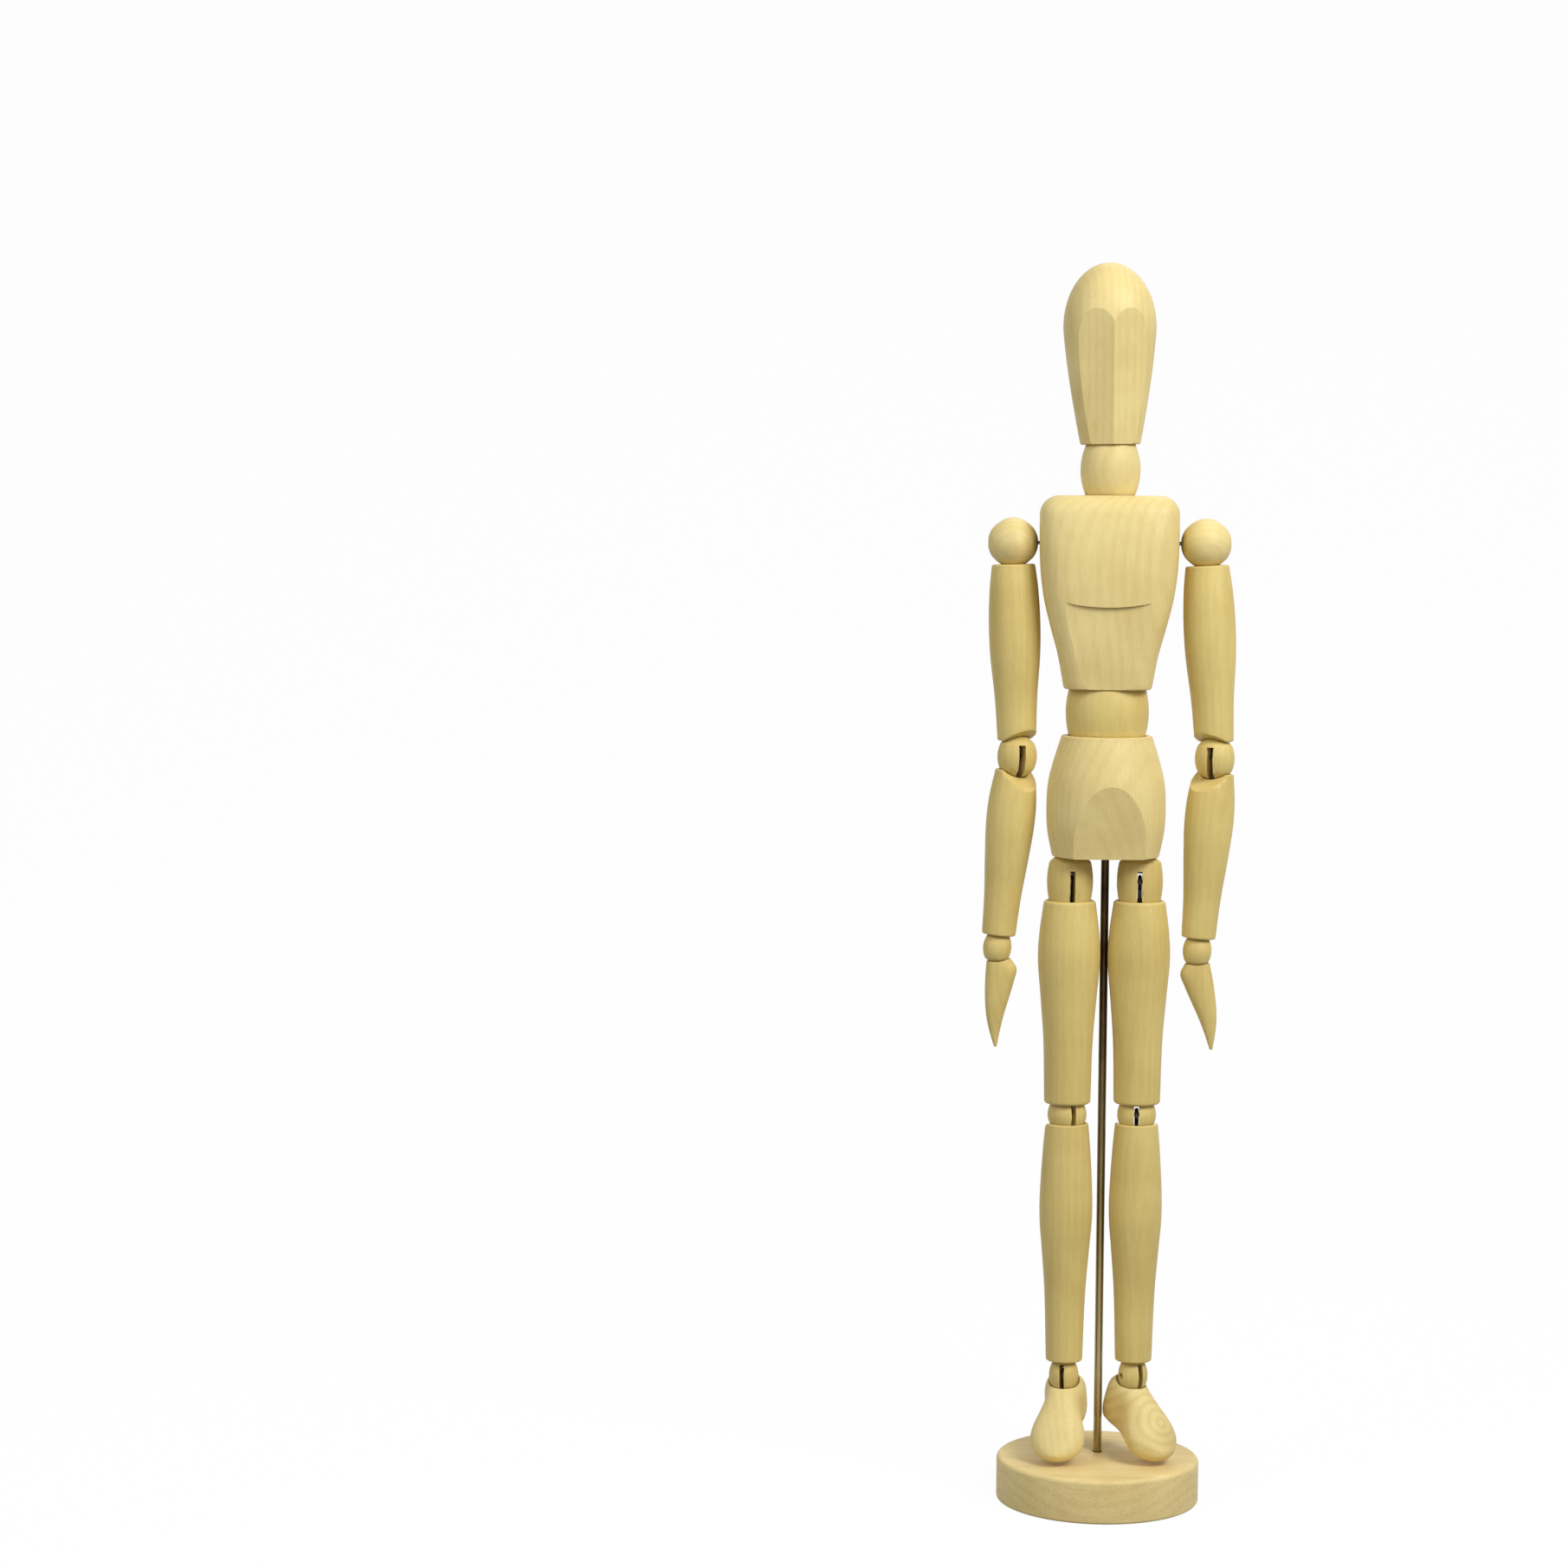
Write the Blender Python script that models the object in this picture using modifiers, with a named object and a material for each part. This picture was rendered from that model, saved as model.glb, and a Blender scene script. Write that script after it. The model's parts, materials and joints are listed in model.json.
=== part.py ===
"""Wooden drawing mannequin: a jointed figure held on a disc stand by a steel rod.

The figure faces -Y and stands on +Z, with the origin under the stand. Every
limb hangs from a slotted joint barrel: a headed wire holds the barrel to the
piece above it, and an eyed wire on the barrel's cross pin carries the piece
below. Coil springs pull the neck, the waist and the shoulders together.
"""

import math

import bmesh
import bpy
from mathutils import Matrix, Vector

MM = 0.001

# Stand
BASE_DIAMETER = 50.0 * MM
BASE_HEIGHT = 10.8 * MM
BASE_EDGE = 1.2 * MM
ROD_DIAMETER = 2.0 * MM
ROD_BEHIND = 3.5 * MM
ROD_IN_BASE = 8.0 * MM
ROD_IN_PELVIS = 14.0 * MM
ROD_SHOWING = 149.5 * MM

# Trunk, each height measured along the spine
PELVIS_HEIGHT = 29.7 * MM
PELVIS_WIDTH = 29.2 * MM
PELVIS_TOP_WIDTH = 22.4 * MM
PELVIS_BOTTOM_WIDTH = 26.4 * MM
PELVIS_WIDEST = 0.60
PELVIS_FLAT_HEIGHT = 17.3 * MM
PELVIS_FLAT_DEPTH = 4.4 * MM
WAIST_WIDTH = 20.3 * MM
WAIST_END_WIDTH = 18.8 * MM
WAIST_SHOWING = 11.5 * MM
CHEST_HEIGHT = 47.1 * MM
CHEST_WIDTH = 34.0 * MM
CHEST_DEPTH = 25.6 * MM
CHEST_BOTTOM_WIDTH = 21.4 * MM
CHEST_BOTTOM_DEPTH = 20.0 * MM
CHEST_CORNER = 4.7 * MM
CHEST_SQUARENESS = 3.7
BREAST_DROP = 26.9 * MM
BREAST_SAG = 2.0 * MM
BREAST_STEP = 1.8 * MM
NECK_WIDTH = 14.6 * MM
NECK_END_WIDTH = 12.0 * MM
NECK_SHOWING = 12.4 * MM
HEAD_HEIGHT = 44.0 * MM
HEAD_WIDTH = 22.6 * MM
HEAD_JAW_WIDTH = 14.8 * MM
FACE_ANGLE = math.radians(26.0)
FACE_TOP_DEPTH = 0.95 * MM
FACE_TAPER = math.radians(7.4)

# Limbs, each length measured from barrel centre to barrel centre
SHOULDER_SPAN = 47.0 * MM
SHOULDER_DROP = 11.6 * MM
UPPER_ARM_LENGTH = 52.4 * MM
FOREARM_LENGTH = 47.5 * MM
HAND_LENGTH = 24.4 * MM
HIP_SPAN = 17.2 * MM
THIGH_LENGTH = 57.8 * MM
CALF_LENGTH = 65.2 * MM

# Joint barrels: width at the middle, width where the domed ends begin, height between those
SHOULDER = {"width": 12.4 * MM, "end": 7.2 * MM, "height": 10.0 * MM}
ELBOW = {"width": 9.7 * MM, "end": 8.4 * MM, "height": 6.2 * MM}
WRIST = {"width": 7.1 * MM, "end": 5.9 * MM, "height": 5.2 * MM}
HIP = {"width": 11.3 * MM, "end": 10.2 * MM, "height": 9.6 * MM}
KNEE = {"width": 9.6 * MM, "end": 8.6 * MM, "height": 4.4 * MM}
ANKLE = {"width": 7.3 * MM, "end": 6.0 * MM, "height": 5.6 * MM}
HIP_SEAT = 0.8 * MM

# How far each limb's end stands from the middle of the barrel it meets
UPPER_ARM_TOP = 5.3 * MM
UPPER_ARM_END = 4.0 * MM
FOREARM_TOP = 3.5 * MM
FOREARM_END = 3.2 * MM
THIGH_TOP = 4.7 * MM
THIGH_END = 2.8 * MM
CALF_TOP = 2.1 * MM
CALF_END = 3.7 * MM
HAND_TOP = 3.1 * MM

# Turned outlines: share of the length from the top, diameter
UPPER_ARM_GIRTH = ((0.0, 10.8), (0.12, 12.0), (0.32, 12.8), (0.52, 12.4), (0.76, 10.6), (1.0, 9.7))
FOREARM_GIRTH = ((0.0, 10.2), (0.16, 11.8), (0.31, 12.1), (0.52, 11.0), (0.77, 9.3), (1.0, 8.5))
THIGH_GIRTH = ((0.0, 13.0), (0.14, 14.8), (0.28, 15.5), (0.47, 14.0), (0.7, 12.3), (1.0, 11.6))
CALF_GIRTH = ((0.0, 10.8), (0.12, 12.0), (0.32, 13.2), (0.42, 13.0), (0.51, 12.1), (0.71, 10.3), (1.0, 9.2))
LIMB_EDGE = 0.5 * MM

# Where the elbows and knees fold, the ends of both pieces are cut back
UPPER_ARM_CUT = math.radians(28.0)
FOREARM_CUT = math.radians(40.0)
ELBOW_CUT_HEADING = math.radians(45.0)
ELBOW_HEADING = math.radians(18.0)
KNEE_CUT = math.radians(34.0)

# Hand and foot
HAND_WIDTH = 8.2 * MM
HAND_THICKNESS = 5.6 * MM
FOOT_LENGTH = 25.8 * MM
FOOT_HEEL = 6.0 * MM
FOOT_WIDTH = 13.4 * MM
FOOT_HEEL_WIDTH = 9.6 * MM
FOOT_SOLE_DROP = 13.2 * MM

# Wire work
WIRE = 1.0 * MM
PIN = 1.0 * MM
WIRE_HEAD = 2.0 * MM
WIRE_HEAD_HEIGHT = 0.6 * MM
CLEARANCE = 0.3 * MM
WIRE_CLEARANCE = 0.25 * MM
SLOT_RISE = 2.9 * MM
SLOT_WIDTH = 1.7 * MM
SWIVEL_CLEARANCE = 0.4 * MM
PIN_WALL = 1.2 * MM
STUD_IN_PELVIS = 8.0 * MM
WIRE_IN_HAND = 10.0 * MM
WIRE_IN_FOOT = 9.0 * MM

# Springs: outside diameter, wire, turns and length of each straight tail
SPINE_SPRING = {"diameter": 7.0 * MM, "wire": 1.0 * MM, "turns": 9, "tail": 6.0 * MM}
NECK_SPRING = {"diameter": 5.4 * MM, "wire": 0.8 * MM, "turns": 8, "tail": 3.8 * MM}
SHOULDER_SPRING = {"diameter": 5.4 * MM, "wire": 1.0 * MM, "turns": 8}
SHOULDER_COIL = 18.0 * MM
SPRING_CLEARANCE = 0.6 * MM
POINTS_PER_CURL = 8

# How the figure stands: turns are about the upright, tilts lean towards +X, swings are about X
PELVIS_TURN = math.radians(6.0)
WAIST_TURN = math.radians(-6.0)
HEAD_TURN = math.radians(6.0)
HEAD_TILT = math.radians(-1.0)
POSE = {
    "right": {
        "arm_tilt": math.radians(-1.75), "forearm_tilt": math.radians(7.0), "hand_tilt": math.radians(-12.4),
        "hip_turn": math.radians(2.0), "knee_turn": math.radians(14.0), "ankle_turn": math.radians(-31.0),
        "foot_drop": math.radians(22.4),
    },
    "left": {
        "arm_tilt": math.radians(-3.1), "forearm_tilt": math.radians(7.4), "hand_tilt": math.radians(-5.5),
        "hip_turn": math.radians(-6.0), "knee_turn": math.radians(0.0), "ankle_turn": math.radians(34.0),
        "foot_drop": math.radians(22.4),
    },
}
SIDES = {"right": -1.0, "left": 1.0}

# Facets round a turned piece
BASE_STEPS = 40
TRUNK_STEPS = 24
LIMB_STEPS = 16
WIRE_STEPS = 8

# Finishes: colour, roughness, metallic
FINISHES = {
    "pale_wood": ((0.72, 0.45, 0.18), 0.45, 0.0),
    "stand_wood": ((0.70, 0.45, 0.19), 0.5, 0.0),
    "steel_wire": ((0.32, 0.30, 0.28), 0.35, 1.0),
    "dark_rod": ((0.16, 0.12, 0.09), 0.4, 1.0),
}


def clear_scene():
    """Remove whatever the scene holds."""
    for item in list(bpy.data.objects):
        bpy.data.objects.remove(item, do_unlink=True)


def new_collection(name):
    """Add a collection to the scene."""
    made = bpy.data.collections.new(name)
    bpy.context.scene.collection.children.link(made)
    return made


clear_scene()
PARTS = new_collection("drawing_mannequin")
CUTTERS = new_collection("mannequin_cutters")


def finish(name):
    """Give the material of this finish, made once."""
    made = bpy.data.materials.get(name)
    if made is None:
        colour, roughness, metallic = FINISHES[name]
        made = bpy.data.materials.new(name)
        made.use_nodes = True
        shader = made.node_tree.nodes["Principled BSDF"]
        shader.inputs["Base Color"].default_value = (*colour, 1.0)
        shader.inputs["Roughness"].default_value = roughness
        shader.inputs["Metallic"].default_value = metallic
        made.diffuse_color = (*colour, 1.0)
    return made


def pivot(name, parent=None, at=(0.0, 0.0, 0.0), turn=(0.0, 0.0, 0.0)):
    """Add an empty on a joint's centre."""
    empty = bpy.data.objects.new(name + "_pivot", None)
    empty.parent = parent
    empty.location = at
    empty.rotation_euler = turn
    empty.empty_display_size = 5.0 * MM
    PARTS.objects.link(empty)
    return empty


def add_part(name, mesh, parent, look="pale_wood", turn=(0.0, 0.0, 0.0)):
    """Add a mesh as one named piece on its pivot."""
    piece = bpy.data.objects.new(name, mesh)
    piece.parent = parent
    piece.rotation_euler = turn
    piece.data.materials.append(finish(look))
    PARTS.objects.link(piece)
    return piece


def add_cutter(name, mesh, parent, at=(0.0, 0.0, 0.0), turn=(0.0, 0.0, 0.0)):
    """Add a mesh that only cuts."""
    cutter = bpy.data.objects.new(name, mesh)
    cutter.parent = parent
    cutter.location = at
    cutter.rotation_euler = turn
    cutter.hide_render = True
    cutter.display_type = "WIRE"
    CUTTERS.objects.link(cutter)
    return cutter


def cut(piece, cutter):
    """Take the cutter's shape out of a piece."""
    boolean = piece.modifiers.new(cutter.name, "BOOLEAN")
    boolean.operation = "DIFFERENCE"
    boolean.solver = "EXACT"
    boolean.object = cutter


def mesh_from(name, shape):
    """Turn a bmesh into a smooth shaded mesh."""
    bmesh.ops.recalc_face_normals(shape, faces=shape.faces)
    mesh = bpy.data.meshes.new(name)
    shape.to_mesh(mesh)
    shape.free()
    mesh.shade_smooth()
    mesh.set_sharp_from_angle(angle=math.radians(35.0))
    return mesh


def box_mesh(name, size):
    """A box of this size about its centre."""
    shape = bmesh.new()
    bmesh.ops.create_cube(shape, size=1.0)
    bmesh.ops.scale(shape, vec=size, verts=shape.verts)
    return mesh_from(name, shape)


def rod_mesh(name, diameter, length, steps=WIRE_STEPS, along="Z"):
    """A round bar about its centre, along Z or X or Y."""
    shape = bmesh.new()
    quarter = math.pi / 2.0
    turns = {"Z": Matrix(), "X": Matrix.Rotation(quarter, 4, "Y"), "Y": Matrix.Rotation(quarter, 4, "X")}
    bmesh.ops.create_cone(
        shape, cap_ends=True, segments=steps, radius1=diameter / 2.0, radius2=diameter / 2.0,
        depth=length, matrix=turns[along],
    )
    return mesh_from(name, shape)


def turned_mesh(name, outline):
    """The mesh of a closed outline of radius and height, to be turned about Z."""
    mesh = bpy.data.meshes.new(name)
    count = len(outline)
    edges = [(i, (i + 1) % count) for i in range(count)]
    on_axis = [i for i, (radius, height) in enumerate(outline) if radius < 1e-9]
    if len(on_axis) == 2:
        edges = [edge for edge in edges if set(edge) != set(on_axis)]
    mesh.from_pydata([(radius, 0.0, height) for radius, height in outline], edges, [])
    return mesh


def turn_on_lathe(piece, steps):
    """Turn the outline of a piece about its own Z axis."""
    screw = piece.modifiers.new("lathe", "SCREW")
    screw.axis = "Z"
    screw.angle = math.tau
    screw.steps = steps
    screw.render_steps = steps
    screw.use_merge_vertices = True
    screw.merge_threshold = 1e-6
    screw.use_smooth_shade = True


def turned(name, outline, parent, steps, look="pale_wood", turn=(0.0, 0.0, 0.0)):
    """A lathe-turned piece; the outline runs down its outer side and back up its bore."""
    piece = add_part(name, turned_mesh(name, outline), parent, look, turn)
    turn_on_lathe(piece, steps)
    return piece


def arc(radius, start, end, count, centre=0.0):
    """Points of radius and height on a circle about the axis, angles from the horizontal."""
    points = []
    for i in range(count):
        angle = start + (end - start) * i / (count - 1)
        points.append((radius * math.cos(angle), centre + radius * math.sin(angle)))
    return points


def smooth(table, share):
    """Read a smooth curve through a table of share and value."""
    for i in range(len(table) - 1):
        (x0, y0), (x1, y1) = table[i], table[i + 1]
        if share <= x1:
            before = table[max(i - 1, 0)]
            after = table[min(i + 2, len(table) - 1)]
            slope0 = (y1 - before[1]) / (x1 - before[0])
            slope1 = (after[1] - y0) / (after[0] - x0)
            span = x1 - x0
            t = (share - x0) / span
            start = (2 * t ** 3 - 3 * t ** 2 + 1) * y0 + (t ** 3 - 2 * t ** 2 + t) * span * slope0
            stop = (3 * t ** 2 - 2 * t ** 3) * y1 + (t ** 3 - t ** 2) * span * slope1
            return start + stop
    return table[-1][1]


def loft_mesh(name, rings):
    """Skin a stack of rings that have the same number of points."""
    shape = bmesh.new()
    loops = [[shape.verts.new(point) for point in ring] for ring in rings]
    count = len(loops[0])
    for upper, lower in zip(loops, loops[1:]):
        for i in range(count):
            j = (i + 1) % count
            shape.faces.new((upper[i], upper[j], lower[j], lower[i]))
    shape.faces.new(loops[0])
    shape.faces.new(loops[-1])
    return mesh_from(name, shape)


def oval(half_x, half_y, squareness, steps):
    """Points on a rounded outline between an ellipse and a rectangle."""
    points = []
    for i in range(steps):
        angle = math.tau * i / steps
        c, s = math.cos(angle), math.sin(angle)
        x = math.copysign(abs(c) ** (2.0 / squareness), c) * half_x
        y = math.copysign(abs(s) ** (2.0 / squareness), s) * half_y
        points.append((x, y))
    return points


def wire_mesh(name, points, diameter, swell=None):
    """A round wire along these points; swell gives a wider radius to some of them."""
    curve = bpy.data.curves.new(name + "_path", "CURVE")
    curve.dimensions = "3D"
    curve.bevel_depth = diameter / 2.0
    curve.bevel_resolution = 1
    curve.use_fill_caps = True
    spline = curve.splines.new("POLY")
    spline.points.add(len(points) - 1)
    for i, (x, y, z) in enumerate(points):
        spline.points[i].co = (x, y, z, 1.0)
        spline.points[i].radius = 1.0 if swell is None else swell.get(i, 1.0)
    holder = bpy.data.objects.new(name + "_path", curve)
    CUTTERS.objects.link(holder)
    drawn = holder.evaluated_get(bpy.context.evaluated_depsgraph_get())
    mesh = bpy.data.meshes.new_from_object(drawn)
    bpy.data.objects.remove(holder, do_unlink=True)
    shape = bmesh.new()
    shape.from_mesh(mesh)
    bpy.data.meshes.remove(mesh)
    bmesh.ops.remove_doubles(shape, verts=shape.verts, dist=1e-6)
    return mesh_from(name, shape)


def coil_points(spring, length, along):
    """Points of a coil of this length about its middle, with its axis along Z or X."""
    radius = (spring["diameter"] - spring["wire"]) / 2.0
    count = spring["turns"] * POINTS_PER_CURL
    points = []
    for i in range(count + 1):
        angle = math.tau * i / POINTS_PER_CURL
        rise = length * (i / count - 0.5)
        x, y = radius * math.cos(angle), radius * math.sin(angle)
        points.append(Vector((rise, x, y)) if along == "X" else Vector((x, y, rise)))
    gap = length / spring["turns"] - spring["wire"]
    print(f"least gap between turns {gap / MM:.2f} mm")
    return points


def headed(points, outward):
    """Close a wire with a flat round head that stands beyond its last point."""
    neck = points[-1]
    under = neck + outward * (0.05 * MM)
    top = neck + outward * WIRE_HEAD_HEIGHT
    return points + [under, top]


def eye_points():
    """The open eye at the top of a limb's wire, round a pin along X."""
    radius = (PIN + WIRE) / 2.0 + WIRE_CLEARANCE
    first, last, count = math.radians(-32.0), math.radians(228.0), 9
    points = []
    for i in range(count):
        angle = first + (last - first) * i / (count - 1)
        points.append(Vector((0.0, radius * math.cos(angle), radius * math.sin(angle))))
    points.append(Vector((0.0, -0.1 * radius, -1.5 * radius)))
    points.append(Vector((0.0, 0.0, -2.0 * radius)))
    return points


HEAD_SWELL = WIRE_HEAD / WIRE


def reach(barrel):
    """Distance from a barrel's centre to its domed ends."""
    return math.hypot(barrel["end"] / 2.0, barrel["height"] / 2.0)


def barrel_side(barrel, rings):
    """Points down the bulging side of a barrel, between its domed ends."""
    points = []
    for i in range(1, rings + 1):
        share = 1.0 - 2.0 * i / (rings + 1)
        half = barrel["width"] / 2.0 - (barrel["width"] - barrel["end"]) / 2.0 * share ** 2
        points.append((half, share * barrel["height"] / 2.0))
    return points


def barrel_outline(barrel, top_hole, end_hole, rings):
    """Points down the outer side of a barrel, from the hole in one domed end to the other."""
    dome = reach(barrel)
    edge = math.asin(barrel["height"] / 2.0 / dome)
    top = arc(dome, math.acos(top_hole / dome), edge, 3)
    return top + barrel_side(barrel, rings) + arc(dome, -edge, -math.acos(end_hole / dome), 3)


def joint_barrel(name, barrel, parent, drilled, turn=(0.0, 0.0, 0.0)):
    """A barrel with a slot below, a hole for a headed wire above and a hole for its cross pin."""
    hole = WIRE / 2.0 + SWIVEL_CLEARANCE
    well = WIRE_HEAD / 2.0 + WIRE_CLEARANCE
    outline = barrel_outline(barrel, hole, well, 3) + [(well, SLOT_RISE), (hole, SLOT_RISE)]
    piece = turned(name, outline, parent, LIMB_STEPS, turn=turn)
    wide = 2.0 * barrel["width"]
    slot = add_cutter(
        name + "_slot", box_mesh(name + "_slot", (SLOT_WIDTH, wide, wide)), piece,
        at=(0.0, 0.0, SLOT_RISE - wide / 2.0),
    )
    cut(piece, slot)
    pin_hole = rod_mesh(name + "_pin_hole", PIN + 2.0 * WIRE_CLEARANCE, wide, along="X")
    start = PIN_WALL - barrel["width"] / 2.0
    cut(piece, add_cutter(name + "_pin_hole", pin_hole, piece, at=(drilled * (start + wide / 2.0), 0.0, 0.0)))


def joint_pin(name, barrel, parent, drilled, turn=(0.0, 0.0, 0.0)):
    """The cross pin of a barrel, short of the blind end of its hole and of the barrel's side."""
    start = PIN_WALL + WIRE_CLEARANCE - barrel["width"] / 2.0
    end = barrel["width"] / 2.0 - 2.0 * CLEARANCE
    mesh = rod_mesh(name, PIN, end - start, along="X")
    mesh.transform(Matrix.Translation((drilled * (start + end) / 2.0, 0.0, 0.0)))
    return add_part(name, mesh, parent, "steel_wire", turn)


def limb_wire(name, parent, length, turn=(0.0, 0.0, 0.0)):
    """The wire of a limb: an eye on the pin above it and a head in the barrel below it."""
    under_head = -length + SLOT_RISE - WIRE_CLEARANCE
    points = eye_points() + [Vector((0.0, 0.0, under_head))]
    points = headed(points, Vector((0.0, 0.0, -1.0)))
    swell = {len(points) - 2: HEAD_SWELL, len(points) - 1: HEAD_SWELL}
    return add_part(name, wire_mesh(name, points, WIRE, swell), parent, "steel_wire", turn)


def end_wire(name, parent, depth, turn=(0.0, 0.0, 0.0)):
    """The wire of a hand or a foot: an eye on the pin above it and a straight tail in the wood."""
    points = eye_points() + [Vector((0.0, 0.0, -depth))]
    return add_part(name, wire_mesh(name, points, WIRE), parent, "steel_wire", turn)


def socket(barrel, stand_off, sign, centre=0.0):
    """Points of a cup round a barrel, from its rim to the wire hole."""
    radius = reach(barrel) + CLEARANCE
    rim = math.asin(stand_off / radius)
    hole = math.acos((WIRE / 2.0 + WIRE_CLEARANCE) / radius)
    return arc(radius, sign * rim, sign * hole, 4, centre)


def cup_cutter(name, barrel, parent, at=(0.0, 0.0, 0.0)):
    """A ball that cuts the cup for a barrel."""
    shape = bmesh.new()
    radius = reach(barrel) + CLEARANCE
    bmesh.ops.create_uvsphere(shape, u_segments=LIMB_STEPS, v_segments=LIMB_STEPS // 2 + 1, radius=radius)
    half_facet = math.pi / LIMB_STEPS
    return add_cutter(name, mesh_from(name, shape), parent, at=at, turn=(0.0, 0.0, half_facet))


def limb(name, girth, length, top_barrel, top_gap, end_barrel, end_gap, parent):
    """A turned limb with a cup at each end and a wire hole through it."""
    top, bottom = -top_gap, -length + end_gap
    span = top - bottom
    rings = 7
    outline = [(smooth(girth, 0.0) * MM / 2.0 - LIMB_EDGE, top)]
    for i in range(rings):
        share = i / (rings - 1)
        height = top - LIMB_EDGE - (span - 2.0 * LIMB_EDGE) * share
        outline.append((smooth(girth, share) * MM / 2.0, height))
    outline.append((smooth(girth, 1.0) * MM / 2.0 - LIMB_EDGE, bottom))
    outline += socket(end_barrel, end_gap, 1.0, -length)
    outline += reversed(socket(top_barrel, top_gap, -1.0))
    return turned(name, outline, parent, LIMB_STEPS)


def fold_cut(piece, height, slope, heading, sign):
    """Slant a limb's end away from the fold: heading 0 is the front, sign 1 is the top end."""
    size = 40.0 * MM
    tilt = Matrix.Rotation(heading, 4, "Z") @ Matrix.Rotation(sign * slope, 4, "X")
    centre = tilt @ Vector((0.0, -size / 2.0, sign * size / 2.0))
    name = piece.name + ("_top_cut" if sign > 0.0 else "_end_cut")
    block = box_mesh(name, (size, size, size))
    cut(piece, add_cutter(name, block, piece, at=Vector((0.0, 0.0, height)) + centre, turn=tilt.to_euler()))


def rod_hole_cutter(name, bottom, top, parent):
    """A bar that drills the rod's hole between two heights over a piece's origin."""
    mesh = rod_mesh(name, ROD_DIAMETER + 2.0 * CLEARANCE, top - bottom, 12)
    return add_cutter(name, mesh, parent, at=(0.0, ROD_BEHIND, (top + bottom) / 2.0))


def build_stand():
    """The disc and the rod that holds the figure."""
    radius = BASE_DIAMETER / 2.0
    soft = BASE_EDGE * 0.3
    outline = [
        (0.0, BASE_HEIGHT), (radius - BASE_EDGE, BASE_HEIGHT), (radius - soft, BASE_HEIGHT - soft),
        (radius, BASE_HEIGHT - BASE_EDGE), (radius, BASE_EDGE), (radius - soft, soft),
        (radius - BASE_EDGE, 0.0), (0.0, 0.0),
    ]
    base = turned("base", outline, None, BASE_STEPS, "stand_wood")
    bottom = BASE_HEIGHT - ROD_IN_BASE
    cut(base, rod_hole_cutter("base_rod_hole", bottom - CLEARANCE, 2.0 * BASE_HEIGHT, base))
    length = ROD_IN_BASE + ROD_SHOWING + ROD_IN_PELVIS
    holder = pivot("support_rod", None, (0.0, ROD_BEHIND, bottom + length / 2.0))
    add_part("support_rod", rod_mesh("support_rod", ROD_DIAMETER, length, 12), holder, "dark_rod")


WAIST = {"width": WAIST_WIDTH, "end": WAIST_END_WIDTH, "height": WAIST_SHOWING}
NECK = {"width": NECK_WIDTH, "end": NECK_END_WIDTH, "height": NECK_SHOWING}


def coil_length(barrel, spring):
    """Length of the coil that runs through a barrel and stands a little out of its ends."""
    return 2.0 * (reach(barrel) + CLEARANCE - spring["wire"])


def coil_room(barrel, spring):
    """Height of a spring's bore over its barrel's centre."""
    return coil_length(barrel, spring) / 2.0 + spring["wire"] + CLEARANCE


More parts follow.
